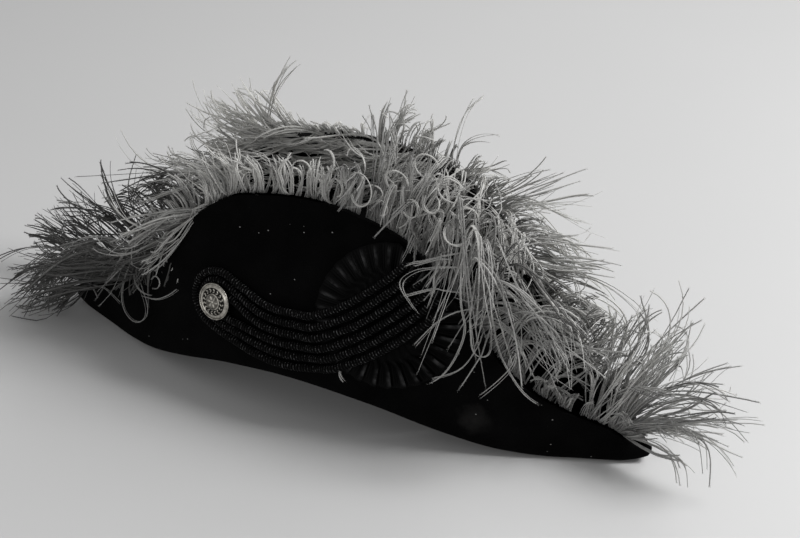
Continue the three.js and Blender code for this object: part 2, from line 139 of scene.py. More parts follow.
# Feather tufts, in millimetres: place along the edge, then where the barbs are half way and at their tips,
# along, out and up from the root, then their spread along the edge, the number of locks and their curliness,
# which also calms the hooks of their tips where it is below 1
Tuft = namedtuple("Tuft", "along bend reach spread locks curl", defaults=(0, 0, 1))
NEAR_TUFTS = [Tuft(*row) for row in (
    (-213, (-3, 16, -4), (-18, 26, -23), 4, 7),
    (-210, (-13, 16, -2), (-40, 26, -26), 5, 9),
    (-205, (-10, 22, -6), (-61, 30, -51), 1, 1),
    (-205, (-22, 14, 5), (-50, 24, -12), 6, 10),
    (-195, (-28, 16, 10), (-62, 34, -10), 7, 10, 0.5),
    (-180, (-30, 16, 12), (-66, 34, -12), 8, 10, 0.5),
    (-165, (-34, 14, 12), (-76, 32, -8), 8, 10, 0.5),
    (-160, (-3, 10, 20), (-5, 18, 6), 9, 4, 3),
    (-150, (-36, 14, 8), (-80, 30, -8), 8, 9, 0.5),
    (-150, (2, 8, 8), (-2, 12, -14), 9, 5, 3),
    (-138, (-34, 12, 4), (-76, 28, -20), 8, 6, 0.5),
    (-135, (4, 8, 2), (0, 12, -24), 8, 5, 3),
    (-122, (5, 8, -4), (4, 10, -32), 7, 4, 3),
    (-125, (-24, 10, -4), (-56, 16, -18), 7, 6),
    (-112, (-24, 10, -11), (-55, 16, -38), 6, 7),
    (-104, (-20, 9, -9), (-43, 14, -40), 6, 7),
    (-95, (-29, 8, -10), (-58, 14, -38), 5, 7),
    (-88, (-18, 8, -21), (-38, 12, -49), 4, 6),
    (-80, (-4, -2, 17), (-21, -4, 31), 5, 4),
    (-70, (-6, -2, 17), (-24, -6, 26), 6, 4),
    (-55, (-3, -2, 18), (-20, -6, 26), 8, 4),
    (-40, (-3, -3, 17), (-18, -6, 25), 8, 4),
    (-20, (0, -3, 17), (-10, -6, 26), 8, 4),
    (0, (0, -3, 15), (2, -6, 27), 8, 4),
    (15, (3, 0, 18), (12, 0, 33), 6, 4),
    (20, (5, 4, 31), (0, 10, 9), 6, 3, 2.5),
    (30, (7, 4, 31), (3, 10, 9), 6, 3, 2.5),
    (40, (9, 4, 27), (3, 10, 4), 6, 3, 2.5),
    (42, (1, -10, 38), (4, -24, 64), 3, 8),
    (48, (2, -10, 38), (14, -24, 66), 4, 7),
    (50, (11, 4, 33), (0, 10, 6), 6, 3, 2.5),
    (60, (10, -6, 38), (25, -12, 62), 6, 5),
    (60, (13, 6, 29), (5, 14, 1), 6, 3, 2.5),
    (66, (12, -6, 38), (27, -10, 64), 6, 5),
    (72, (-8, -6, 36), (2, -8, 54), 7, 5),
    (70, (6, 8, 10), (2, 15, -8), 5, 3),
    (80, (8, 2, 37), (-2, 12, 27), 5, 4),
    (82, (8, 8, 10), (4, 16, -12), 5, 3),
    (86, (12, 4, 37), (5, 16, 8), 4, 3),
    (78, (6, -14, 34), (18, -30, 42), 7, 4, 2),
    (90, (10, -16, 37), (28, -34, 38), 7, 4, 2),
    (92, (20, 6, 52), (30, 34, -56), 3, 2, 1.8),
    (92, (8, 9, 10), (2, 17, -16), 4, 3),
    (96, (21, 6, 58), (8, 36, -62), 5, 1, 1.4),
    (100, (22, 6, 59), (32, 36, -64), 7, 3, 1.4),
    (102, (14, -18, 40), (38, -34, 34), 7, 4, 2),
    (106, (26, 6, 57), (40, 36, -62), 7, 4, 1.4),
    (112, (28, 8, 54), (46, 34, -48), 7, 4, 1.4),
    (114, (16, -16, 42), (44, -28, 30), 7, 4, 2),
    (116, (27, 8, 55), (26, 38, -40), 3, 2),
    (118, (29, 8, 55), (67, 34, -22), 3, 2),
    (114, (41, 13, 28), (70, 21, -9), 4, 5, 0.4),
    (116, (38, 13, 14), (62, 22, -20), 4, 4, 0.4),
    (122, (46, 13, 38), (73, 22, -8), 4, 5, 0.4),
    (128, (48, 14, 48), (72, 22, 7), 4, 4, 0.4),
    (134, (48, 14, 53), (72, 22, 32), 4, 4, 0.4),
    (150, (27, 6, 42), (62, 14, 26), 7, 5),
    (160, (26, 4, 38), (53, 8, 36), 8, 5),
    (178, (-10, 4, 20), (-24, 8, 20), 9, 5),
    (192, (12, -2, 36), (29, -2, 70), 7, 6),
    (202, (15, -2, 38), (37, -2, 70), 6, 6),
    (208, (21, -2, 37), (52, -2, 66), 5, 6),
    (210, (50, 6, 48), (98, 10, 50), 3, 3),
    (211, (42, 8, 33), (85, 14, 44), 4, 5),
    (212, (50, 12, 33), (92, 18, 42), 3, 4),
    (212, (37, 10, 29), (64, 16, 22), 3, 3),
    (212, (46, 12, 20), (82, 18, -2), 4, 4),
    (213, (34, 12, 6), (60, 18, -8), 3, 3),
    (213, (28, 10, 19), (51, 16, 14), 3, 4),
)]
FAR_TUFTS = [Tuft(*row) for row in (
    (-213, (-37, 2, 10), (-70, 4, 11), 4, 7),
    (-208, (-42, 2, 13), (-66, 4, 20), 5, 8, 0.5),
    (-204, (-39, 2, 7), (-74, 4, 12), 5, 7, 0.5),
    (-200, (-38, 2, 17), (-60, 4, 25), 5, 8, 0.5),
    (-188, (-32, 2, 20), (-62, 2, 27), 6, 8, 0.5),
    (-182, (-28, 2, 20), (-54, 3, 24), 7, 6, 0.5),
    (-180, (-30, 2, 33), (-50, 4, 63), 2, 2, 0.3),
    (-172, (-34, 2, 33), (-42, 4, 71), 2, 2, 0.3),
    (-170, (-30, 4, 24), (-58, 10, 12), 8, 8, 0.5),
    (-150, (-26, 4, 21), (-58, 10, 6), 9, 10, 0.5),
    (-134, (-28, 3, 18), (-60, 8, 0), 9, 10, 0.5),
    (-120, (-48, 2, -9), (-93, 6, -51), 5, 5),
    (-110, (-54, 2, -15), (-100, 6, -53), 5, 5),
    (-100, (-55, 2, -17), (-89, 4, -2), 3, 4),
    (-92, (-54, 2, -27), (-85, 4, -15), 3, 4),
    (-86, (-42, 2, 0), (-72, 4, 12), 4, 5),
    (-82, (8, 2, 45), (32, 4, 84), 1, 2, 0.3),
    (-80, (-37, 2, 5), (-70, 4, 20), 4, 5),
    (-76, (-34, 2, 7), (-60, 4, 24), 4, 5),
    (-70, (-24, 2, 12), (-40, 4, 29), 3, 4),
    (-66, (-22, 2, 14), (-38, 4, 30), 3, 4),
    (-62, (-15, 2, 14), (-30, 4, 25), 3, 4),
    (-60, (-17, 2, 17), (-6, 4, 41), 2, 1),
    (-36, (-8, 16, -14), (-18, 34, -60), 12, 6),
    (8, (0, 2, 16), (4, 4, 30), 3, 4),
    (14, (6, 2, 22), (18, 4, 42), 3, 3),
    (20, (6, 2, 20), (18, 4, 37), 3, 3),
    (40, (-1, 2, 16), (9, 4, 28), 8, 5),
    (46, (8, 16, -14), (16, 34, -60), 12, 6),
    (62, (4, 2, 28), (16, 4, 52), 2, 2),
    (62, (4, -16, 12), (6, -32, -10), 6, 4, 2),
    (66, (20, 6, 6), (46, 10, 14), 4, 4),
    (80, (8, -16, 12), (14, -34, -12), 6, 4, 2),
    (88, (22, 6, 12), (52, 12, 31), 4, 4),
    (92, (25, 8, 6), (52, 14, 16), 4, 4),
    (96, (31, 10, 9), (65, 18, -3), 1, 1),
    (98, (12, -16, 10), (20, -32, -16), 6, 4, 2),
    (100, (25, 12, 2), (54, 22, -36), 5, 5),
    (104, (28, 10, -2), (57, 18, -11), 5, 5),
    (112, (21, 12, -6), (42, 20, -34), 6, 5),
    (114, (12, -14, 8), (22, -28, -20), 6, 4, 2),
    (116, (31, 8, -1), (62, 14, -5), 5, 6, 0.4),
    (122, (30, 8, 0), (70, 14, -1), 5, 5, 0.4),
    (126, (26, 10, -6), (46, 16, -34), 6, 7, 0.4),
    (140, (21, 8, 4), (40, 14, -10), 8, 8, 0.4),
    (152, (14, 5, 14), (26, 9, 18), 8, 7, 0.4),
    (165, (12, 4, 20), (19, 6, 41), 7, 5),
    (178, (13, 4, 27), (19, 6, 58), 6, 5),
    (186, (13, 4, 31), (20, 6, 68), 5, 5),
    (190, (20, 4, 40), (20, 6, 79), 1, 1),
    (192, (16, 4, 45), (33, 6, 80), 2, 2),
    (198, (24, 6, 52), (54, 8, 102), 1, 1),
    (200, (25, 6, 46), (53, 8, 88), 2, 2),
    (204, (13, 6, 32), (27, 10, 64), 5, 6),
    (208, (29, 6, 34), (63, 10, 68), 3, 2),
    (211, (32, 8, 24), (64, 12, 42), 4, 5),
)]

# Short dense barbs along each edge, and barbs that lie inside the far flap, as shapes to go between
NEAR_FRINGE = [Tuft(*row) for row in (
    (-214, (-10, 4, 9), (-24, 8, 12)),
    (-150, (-8, 4, 13), (-24, 8, 16)),
    (-100, (-4, 1, 16), (-18, 1, 24)),
    (-60, (1, -1, 20), (-16, -4, 27)),
    (-20, (3, -2, 19), (-8, -6, 27)),
    (10, (3, -2, 15), (0, -5, 25)),
    (30, (2, -2, 11), (4, -4, 18)),
    (50, (1, -1, 9), (3, -3, 15)),
    (80, (0, 0, 10), (2, -1, 16)),
    (110, (6, 2, 14), (12, 5, 18)),
    (150, (2, 4, 12), (4, 8, 16)),
    (190, (6, 3, 13), (14, 4, 22)),
    (214, (10, 3, 9), (26, 6, 12)),
)]
FAR_FRINGE = [Tuft(*row) for row in (
    (-214, (-10, 3, 10), (-24, 6, 14)),
    (-150, (-12, 2, 14), (-32, 4, 18)),
    (-100, (-12, 1, 10), (-30, 2, 14)),
    (-66, (-10, 1, 6), (-22, 1, 8)),
    (-40, (-6, 2, 3), (-12, 4, 2)),
    (0, (-4, 2, 3), (-10, 4, 2)),
    (20, (1, 2, 10), (3, 3, 15)),
    (60, (3, 2, 13), (8, 3, 18)),
    (110, (10, 3, 10), (24, 6, 10)),
    (150, (8, 3, 13), (20, 6, 18)),
    (214, (10, 3, 12), (26, 6, 18)),
)]
INNER_FRINGE = [Tuft(*row) for row in (
    (-150, (-22, -1, -2), (-44, 2, -12)),
    (-60, (-24, -2, -5), (-54, 3, -16)),
    (0, (-28, -3, -6), (-58, 2, -14)),
    (40, (-24, -5, -6), (-48, 0, -18)),
    (64, (-16, -6, -8), (-36, 0, -26)),
    (84, (6, -6, -10), (8, 0, -32)),
    (110, (20, -4, -12), (36, 2, -34)),
    (150, (20, -1, -8), (40, 1, -22)),
)]

# Stray barbs that lie over the near flap, in millimetres: along, height, and lift off the felt
STRAY_BARBS = (
    ((20, 150, 6), (30, 165, 8), (45, 175, 9), (55, 170, 10), (40, 160, 9), (25, 155, 8)),
    ((41, 156, 4), (57, 172, 8), (75, 176, 5)),
    ((110, 155, 14), (110, 125, 17), (112, 90, 14), (105, 65, 9), (95, 55, 6)),
    ((120, 140, 18), (115, 90, 14), (120, 75, 12), (130, 80, 12), (130, 105, 15)),
    ((142, 135, 20), (150, 100, 22), (145, 75, 18), (125, 50, 9)),
    ((130, 130, 19), (138, 90, 18), (150, 60, 14), (160, 45, 8)),
    ((118, 150, 6), (108, 145, 9), (90, 138, 12), (72, 129, 13)),
    ((102, 138, 8), (94, 138, 11), (80, 132, 13)),
    ((106, 134, 8), (94, 133, 12), (82, 128, 13), (73, 122, 14), (71, 118, 14), (75, 112, 13),
     (84, 102, 12)),
    ((114, 118, 8), (100, 119, 12), (87, 116, 13), (75, 111, 12)),
    ((97, 138, 8), (94, 134, 12), (93, 120, 14), (91, 106, 12)),
    ((95, 132, 12), (91, 125, 13), (87, 118, 12)),
    ((118, 108, 7), (108, 105, 11), (98, 98, 12), (86, 81, 11)),
    ((124, 92, 5), (120, 81, 8), (113, 68, 10), (98, 60, 9)),
    ((37, 57, 9), (38, 51, 6), (40, 47, 3)),
    ((-146, 72, 4), (-151, 58, 6), (-153, 40, 7), (-148, 30, 7), (-135, 29, 7), (-124, 39, 6),
     (-127, 48, 5), (-135, 54, 5), (-141, 62, 4)),
    ((-199, 30, 4), (-189, 34, 6), (-177, 37, 7), (-164, 36, 7), (-153, 36, 8)),
    ((-132, 50, 5), (-115, 56, 6), (-103, 64, 6), (-95, 72, 5)),
    ((-151, 62, 4), (-142, 62, 6), (-137, 57, 8), (-129, 54, 7), (-120, 56, 6)),
    ((-122, 66, 5), (-117, 71, 6), (-111, 71, 6), (-112, 65, 6), (-120, 61, 5)),
    ((-195, 28, 4), (-190, 31, 6), (-185, 26, 5)),
)

# Curls that lie over the short barbs of the near edge, in millimetres and degrees: the middle, its lift off
# the plane of the flap, the size, the direction of the start from the middle, and how far it goes round
Curl = namedtuple("Curl", "along height lift size start turn")
CURLS = [Curl(*row) for row in (
    (-10, 170, 4, 9, 200, -220),
    (5, 180, 2, 10, 250, 230),
    (18, 165, 5, 7, 180, -260),
    (26, 184, 2, 11, 290, 240),
    (36, 168, 7, 13, 170, -330),
    (52, 162, 7, 6, 260, 250),
    (60, 180, 5, 9, 230, -250),
    (72, 166, 8, 7, 210, 300),
    (80, 195, 4, 10, 250, -240),
    (86, 172, 8, 7, 150, 290),
    (98, 184, 6, 10, 280, -280),
    (106, 158, 11, 9, 120, 240),
    (112, 170, 9, 8, 230, -260),
)]
CURL_WINDING = 0.35  # share of its size by which a curl draws in towards its end


def column_slopes(values):
    """Slopes of one column at its rows, kept flat where it turns, so that it never overshoots."""
    run = np.diff(SECTIONS[:, 0])
    grade = np.diff(values) / run
    before, after = grade[:-1], grade[1:]
    early = 2 * run[1:] + run[:-1]
    late = run[1:] + 2 * run[:-1]
    turning = before * after <= 0
    steady = np.where(turning, 1, early / np.where(turning, 1, before) + late / np.where(turning, 1, after))
    slopes = np.zeros(len(values))
    slopes[1:-1] = np.where(turning, 0, (early + late) / steady)
    slopes[-1] = grade[-1]
    return slopes


def cubic(t, start, stop, leave, arrive):
    """Curve from start to stop as t goes from 0 to 1, with the slopes that it leaves and arrives with."""
    rise = t * t * (3 - 2 * t)
    return start + (stop - start) * rise + t * (1 - t) ** 2 * leave + t * t * (t - 1) * arrive


def column(name, x):
    """One column of the sections at places along the hat."""
    values = SECTIONS[:, SECTION_COLUMNS.index(name)]
    slopes = column_slopes(values)
    along = np.minimum(np.abs(x), SECTIONS[-1, 0])
    row = np.clip(np.searchsorted(SECTIONS[:, 0], along) - 1, 0, len(SECTIONS) - 2)
    run = SECTIONS[row + 1, 0] - SECTIONS[row, 0]
    t = (along - SECTIONS[row, 0]) / run
    return cubic(t, values[row], values[row + 1], run * slopes[row], run * slopes[row + 1])


def edge_height(side, x):
    """Height of a flap's edge."""
    return column("near_edge" if side == NEAR else "far_edge", x)


def flap_width(side, x, z):
    """Half-width of a flap's outer face at a height."""
    fold = column("fold_height", x)
    height = edge_height(side, x) - fold
    share = (z - fold) / height
    bulge = BOW * np.minimum(height / BOWED_HEIGHT, 1) * 4 * np.maximum(share * (1 - share), 0)
    width = column("fold_width", x)
    return width + (column("edge_width", x) - width) * share + bulge


def flap_normal(side, x, z):
    """Outward direction of a flap's face."""
    d = 1 * MM
    across_x = side * (flap_width(side, x + d, z) - flap_width(side, x - d, z))
    across_z = side * (flap_width(side, x, z + d) - flap_width(side, x, z - d))
    step = np.full_like(across_x, 2 * d)
    zero = np.zeros_like(across_x)
    normal = np.cross(np.stack([step, across_x, zero], -1), np.stack([zero, across_z, step], -1))
    return -side * normal / np.linalg.norm(normal, axis=-1, keepdims=True)


def on_flap(side, x, z, out):
    """Points of the frame at a distance out from a flap's outer face."""
    x, z, out = np.broadcast_arrays(*(np.asarray(v, float) for v in (x, z, out)))
    base = np.stack([x + MIDDLE, side * flap_width(side, x, z), z], -1)
    return base + flap_normal(side, x, z) * out[..., None]


def smooth_step(value, low, high):
    """Smooth rise from 0 at low to 1 at high."""
    t = np.clip((value - low) / (high - low), 0, 1)
    return t * t * (3 - 2 * t)


def cockade_distance(x, z):
    """Distance from the cockade's middle, measured on the near flap."""
    return np.hypot(x - COCKADE_ALONG, (z - COCKADE_HEIGHT) / FLAP_SLOPE)


def unit(vectors):
    """The same vectors with length 1."""
    return vectors / np.maximum(np.linalg.norm(vectors, axis=-1, keepdims=True), 1e-12)


def distances(line):
    """Distance of each point of a line from its start, along the line."""
    return np.concatenate([[0], np.cumsum(np.linalg.norm(np.diff(line, axis=0), axis=1))])


def columns_at(places, marks, table):
    """The columns of a table, whose rows stand at marks, at other places."""
    return np.stack([np.interp(places, marks, values) for values in table.T], -1)


def smooth_line(marks, steps):
    """Points of a smooth curve through marks, at even distances."""
    marks = np.asarray(marks, float)
    padded = np.concatenate([marks[:1], marks, marks[-1:]])
    t = np.linspace(0, 1, SPAN_STEPS, endpoint=False)[:, None]
    spans = []
    for i in range(len(marks) - 1):
        before, start, stop, after = padded[i:i + 4]
        spans.append(cubic(t, start, stop, (stop - before) / 2, (after - start) / 2))
    dense = np.concatenate([*spans, marks[-1:]])
    run = distances(dense)
    return columns_at(np.linspace(0, run[-1], steps + 1), run, dense)


class Value:
    """A socket of a finish. Arithmetic on it adds Math nodes."""

    def __init__(self, finish, socket):
        self.finish = finish
        self.socket = socket

    def maths(self, operation, *operands):
        return self.finish.node("ShaderNodeMath", {"operation": operation}, dict(enumerate(operands)))

    def __add__(self, other):
        return self.maths("ADD", self, other)

    def __sub__(self, other):
        return self.maths("SUBTRACT", self, other)

    def __rsub__(self, other):
        return self.maths("SUBTRACT", other, self)

    def __mul__(self, other):
        return self.maths("MULTIPLY", self, other)

    def alone(self, operation):
        return self.maths(operation, self)

    __radd__ = __add__
    __rmul__ = __mul__


class Finish:
    """One material, made node by node in front of its Principled shader."""

    def __init__(self, name, constants):
        self.material = bpy.data.materials.new(name)
        self.material.use_nodes = True
        self.nodes = self.material.node_tree.nodes
        self.shader = self.nodes["Principled BSDF"]
        for socket, value in constants.items():
            self.shader.inputs[socket].default_value = value

    def feed(self, socket, value):
        if isinstance(value, Value):
            self.material.node_tree.links.new(value.socket, socket)
        else:
            socket.default_value = value

    def node(self, kind, settings=None, sockets=None, output=0):
        made = self.nodes.new(kind)
        for key, value in (settings or {}).items():
            setattr(made, key, value)
        for key, value in (sockets or {}).items():
            self.feed(made.inputs[key], value)
        return Value(self, made.outputs[output])

    def surface(self, socket, value):
        self.feed(self.shader.inputs[socket], value)

    def cover(self, other, share):
        plain = Value(self, self.shader.outputs[0])
        mixed = self.node("ShaderNodeMixShader", None, {0: share, 1: plain, 2: other})
        self.feed(self.nodes["Material Output"].inputs["Surface"], mixed)

    def place(self):
        return self.node("ShaderNodeTexCoord", output="Object")

    def scaled(self, place, scale):
        return self.node("ShaderNodeMapping", None, {"Vector": place, "Scale": scale})

    def noise(self, place, size, detail=3.0):
        return self.node("ShaderNodeTexNoise", None, {"Vector": place, "Scale": 1 / size, "Detail": detail})

    def cells(self, place, size, output="Distance"):
        return self.node("ShaderNodeTexVoronoi", None, {"Vector": place, "Scale": 1 / size}, output)

    def attribute(self, name):
        return self.node("ShaderNodeAttribute", {"attribute_name": name}, output="Fac")

    def ramp(self, value, low, high):
        return self.node("ShaderNodeMapRange", None, {"Value": value, "From Min": low, "From Max": high})

    def blend(self, share, start, stop):
        return self.node("ShaderNodeMix", {"data_type": "RGBA"}, {0: share, 6: start, 7: stop}, output=2)

    def bump(self, height, depth):
        return self.node("ShaderNodeBump", None, {"Height": height, "Distance": depth})


# Finishes: how strongly each pattern shows, and how some are stretched
FELT_CLOUD_RELIEF = 0.6  # to that of the nap
LINT_STRETCH = (1, 0.55, 1.5)
LINT_SPACING = 8 * MM
LINT_SHARE = 0.6
DUST_SHARE = 0.12
DUST_RAGGED = 12 * MM
FOLD_PHASE = 0.66  # place of the fold across a pleat, where the painted highlight lies
RIB_RELIEF = 0.5
SILK_ROUGHNESS = 0.36
SILK_ROUGHER = 0.25
GROOVE_ROUGHNESS = 0.95
CREST_SMOOTHER = 0.45
THREAD_ROUGHER = 0.05
SCRATCH_STRETCH = (1, 1, 5)
SCRATCH_ROUGHER = 0.25
FLECK_TONE = 0.3
TAPE_PALER = 3
FLOOR_DARKER = 0.96


def rgba(colour):
    """A colour with full opacity."""
    return (*colour, 1.0)


def felt_finish(felt):
    """Black fur felt: a short nap, cloudy wear, a dusty spot and specks of lint."""
    made = Finish("black_fur_felt", {
        "Roughness": 0.9, "Specular IOR Level": 0.04, "Sheen Weight": felt.sheen, "Sheen Roughness": 0.45})
    place = made.place()
    cloud = made.noise(place, size=26 * MM, detail=4)
    nap = made.noise(place, size=0.8 * MM, detail=4)
    apart = made.scaled(place, LINT_STRETCH)
    chosen = made.ramp(made.cells(apart, LINT_SPACING, "Color"), low=0.64, high=0.66)
    lint = made.ramp(made.cells(apart, LINT_SPACING), low=0.075, high=0.045) * chosen
    spot = made.node("ShaderNodeVectorMath", {"operation": "DISTANCE"}, {0: place, 1: felt.worn_place}, 1)
    worn = made.ramp(spot + made.noise(place, size=7 * MM) * DUST_RAGGED, low=19 * MM, high=6 * MM)
    colour = made.blend(made.ramp(cloud, low=0.4, high=0.75), rgba(felt.colour), rgba(felt.bloom))
    colour = made.blend(worn * DUST_SHARE, colour, rgba(felt.dust))
    made.surface("Base Color", made.blend(lint * LINT_SHARE, colour, rgba(felt.lint)))
    made.surface("Normal", made.bump(nap + cloud * FELT_CLOUD_RELIEF, depth=0.35 * MM))
    return made.material


def ribbon_finish(cockade):
    """Black ribbed silk: fine ribs across the ribbon, with a painted highlight along the folds of the
    pleats.
    """
    made = Finish("black_ribbed_silk", {"Specular IOR Level": 0.05})
    place = made.place()
    ribbon = made.node("ShaderNodeUVMap", {"uv_map": "ribbon"})
    turn = made.node("ShaderNodeSeparateXYZ", None, {0: ribbon}, "X") * cockade.pleats
    radius = made.node("ShaderNodeSeparateXYZ", None, {0: ribbon}, "Y")
    # painted highlight: a pale band along the fold of each pleat, in a ring near the rim
    fold = made.ramp((turn.alone("FRACT") - FOLD_PHASE).alone("ABSOLUTE"), low=0.26, high=0.08)
    rubbed = fold * made.ramp(radius, low=0.71, high=0.8) * made.ramp(radius, low=0.98, high=0.9)
    ribs = (turn * (WHOLE_TURN * cockade.ribs)).alone("SINE")
    shade = made.noise(place, size=5 * MM, detail=4)
    base = made.blend(shade, rgba(cockade.colour), rgba(cockade.bloom))
    rubbed = rubbed * made.ramp(shade, low=0.36, high=0.64)
    # the rubbed colour is the painted highlight of the folds
    made.surface("Base Color", made.blend(rubbed, base, rgba(cockade.rubbed)))
    made.surface("Roughness", shade * SILK_ROUGHER + SILK_ROUGHNESS)
    relief = ribs * RIB_RELIEF + made.noise(place, size=0.6 * MM)
    made.surface("Normal", made.bump(relief, depth=0.14 * MM))
    return made.material


def gimp_finish(cord):
    """Black silk gimp: shiny on the crests of its coil and dull in the grooves, with painted shade in the
    grooves and painted highlights on the crests.
    """
    made = Finish("black_gimp", {"Specular IOR Level": 0.1})
    place = made.place()
    # painted shade: the grooves take a darker colour than the crests
    crest = made.ramp(made.attribute("ridge"), low=0.86, high=1)
    turns = made.noise(place, size=1.4 * MM, detail=2)
    threads = made.noise(place, size=0.35 * MM, detail=2)
    # painted highlights: paler spots on the crests of the coil
    bright = made.blend(made.ramp(turns, low=0.52, high=0.64), rgba(cord.colour), rgba(cord.bloom))
    made.surface("Base Color", made.blend(crest, rgba(cord.grooves), bright))
    made.surface("Roughness", GROOVE_ROUGHNESS - crest * CREST_SMOOTHER + threads * THREAD_ROUGHER)
    made.surface("Normal", made.bump(threads, depth=0.06 * MM))
    return made.material


def gilt_finish(name, colour, tarnish, roughness):
    """Dull gilt: worn bright, with tarnish in cloudy patches and fine scratches."""
    made = Finish(name, {"Metallic": 1.0})
    place = made.place()
    cloud = made.noise(place, size=3 * MM, detail=4)
    grain = made.noise(made.scaled(place, SCRATCH_STRETCH), size=0.5 * MM)
    patches = made.ramp(cloud, low=0.42, high=0.7)
    made.surface("Base Color", made.blend(patches, rgba(colour), rgba(tarnish)))
    made.surface("Roughness", grain * SCRATCH_ROUGHER + roughness)
    made.surface("Normal", made.bump(grain + cloud, depth=0.04 * MM))
    return made.material


def feather_finish(feather):
    """Pale ostrich barbs: each has its own tone, which also carries painted shade and painted light, and
    they let some light through.
    """
    made = Finish("ostrich_barbs", {"Roughness": 0.75, "Specular IOR Level": 0.3, "Sheen Weight": 0.1})
    tone = made.attribute("tone")
    flecks = made.noise(made.place(), size=1.6 * MM)
    share = made.ramp(tone + flecks * FLECK_TONE - FLECK_TONE / 2, low=0, high=1)
    made.surface("Base Color", made.blend(share, rgba(feather.shadow), rgba(feather.colour)))
    made.surface("Normal", made.bump(flecks, depth=0.1 * MM))
    through = made.node("ShaderNodeBsdfTranslucent", None, {"Color": rgba(feather.colour)})
    made.cover(through, share * feather.translucence)
    return made.material


def tape_finish(feather):
    """Woven tape that the barbs are sewn to."""
    made = Finish("fringe_tape", {"Roughness": 0.85})
    weave = made.noise(made.place(), size=0.9 * MM, detail=2)
    paler = [TAPE_PALER * channel for channel in feather.tape]
    made.surface("Base Color", made.blend(weave, rgba(feather.tape), rgba(paler)))
    made.surface("Normal", made.bump(weave, depth=0.15 * MM))
    return made.material


def floor_finish(stage):
    """Pale matt paper with a faint cloudiness."""
    made = Finish("pale_paper", {"Roughness": 0.9, "Specular IOR Level": 0.2})
    cloud = made.noise(made.place(), size=300 * MM)
    darker = [FLOOR_DARKER * channel for channel in stage.floor]
    made.surface("Base Color", made.blend(cloud, rgba(stage.floor), rgba(darker)))
    return made.material


def mapped_grid(bm, columns, rows, place, uv_name=None, ridge=None):
    """Adds a grid and moves its vertices to place(u, v), with u and v from 0 to 1."""
    layer = bm.verts.layers.float.new("ridge") if ridge else None
    made = bmesh.ops.create_grid(bm, x_segments=columns, y_segments=rows, size=0.5)["verts"]
    flat = np.array([v.co for v in made])[:, :2] + 0.5
    if ridge:
        for vertex, value in zip(made, ridge(flat[:, 0], flat[:, 1])):
            vertex[layer] = value
    if uv_name:
        layer = bm.loops.layers.uv.new(uv_name)
        for vertex, uv in zip(made, flat):
            for loop in vertex.link_loops:
                loop[layer].uv = uv
    for vertex, point in zip(made, place(flat[:, 0], flat[:, 1])):
        vertex.co = point


def close_seams(bm, inside):
    """Merges seams and turns the faces away from a point inside."""
    bmesh.ops.remove_doubles(bm, verts=bm.verts, dist=0.01 * MM)
    bmesh.ops.recalc_face_normals(bm, faces=bm.faces)
    inside = Vector(inside)
    outward = sum(f.normal.dot(f.calc_center_median() - inside) * f.calc_area() for f in bm.faces)
    if outward < 0:
        bmesh.ops.reverse_faces(bm, faces=bm.faces)


def mesh_of(bm, name):
    """The mesh of a finished bmesh."""
    mesh = bpy.data.meshes.new(name)
    bm.to_mesh(mesh)
    bm.free()
    return mesh


def add_object(name, data):
    """A new object of the scene."""
    made = bpy.data.objects.new(name, data)
    bpy.context.scene.collection.objects.link(made)
    return made


def add_piece(name, mesh, finishes, slot, *replaced):
    """A finished piece of the hat, in place in the frame."""
    if isinstance(mesh, bmesh.types.BMesh):
        mesh = mesh_of(mesh, name)
    mesh.shade_smooth()
    piece = add_object(name, mesh)
    for finish in finishes:
        mesh.materials.append(finish)
    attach(piece, BODY)
    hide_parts(*replaced)
    return piece


def thicken(piece, wall, rounding, even=True):
    """Gives a sheet its wall, inwards from its faces, and rounds the cut edges."""
    solid = piece.modifiers.new("wall", "SOLIDIFY")
    solid.thickness = wall
    solid.offset = -1
    solid.use_even_offset = even
    bevel = piece.modifiers.new("rounding", "BEVEL")
    bevel.width = rounding
    bevel.segments = 2
    bevel.limit_method = "ANGLE"
    bevel.angle_limit = math.radians(50)


# Brim and crown
HEAD_COLUMNS = 72
WING_COLUMNS = 48
BRIM_ROWS = 34
UNDER_SHARE = 0.24  # of the rows, on the underside
TURN_SHARE = 0.18  # of the rows, round the fold
CROWN_COLUMNS = 120
CROWN_ROWS = 26


def felt_stations():
    """Places along the brim, close together at the two ends of the head opening."""
    reach = HEAD_HALF_LENGTH + HEAD_SEAM
    turn = np.linspace(0, math.pi, HEAD_COLUMNS + 1)
    wing = np.linspace(reach, POINT, WING_COLUMNS + 1)[1:]
    return np.concatenate([-wing[::-1], -reach * np.cos(turn), wing])


def brim_point(side, u, v):
    """Point of the brim's outer face, from the head opening, round the fold and up to the edge."""
    stations = felt_stations()
    x = np.interp(u, np.linspace(0, 1, len(stations)), stations)
    fold, edge, width = column("fold_height", x), edge_height(side, x), column("fold_width", x)
    radius = np.minimum(FOLD_RADIUS, np.minimum(width, edge - fold) / 2)
    oval = np.maximum(1 - (x / (HEAD_HALF_LENGTH + HEAD_SEAM)) ** 2, 0)
    opening = (HEAD_HALF_WIDTH + HEAD_SEAM) * np.sqrt(oval)
    under = np.clip(v / UNDER_SHARE, 0, 1)
    turn = np.clip((v - UNDER_SHARE) / TURN_SHARE, 0, 1)
    rise = np.clip((v - UNDER_SHARE - TURN_SHARE) / (1 - UNDER_SHARE - TURN_SHARE), 0, 1)
    top = fold + radius
    z = np.where(rise > 0, top + (edge - top) * rise, fold + radius * turn ** 2)
    turned = (1 - turn) ** 2 * (width - radius) + 2 * turn * (1 - turn) * width
    turned = turned + turn ** 2 * flap_width(side, x, top)
    y = np.where(rise > 0, flap_width(side, x, z), turned)
    y = np.where(turn > 0, y, opening + (width - radius - opening) * under)
    return np.stack([x + MIDDLE, side * y, z], -1)


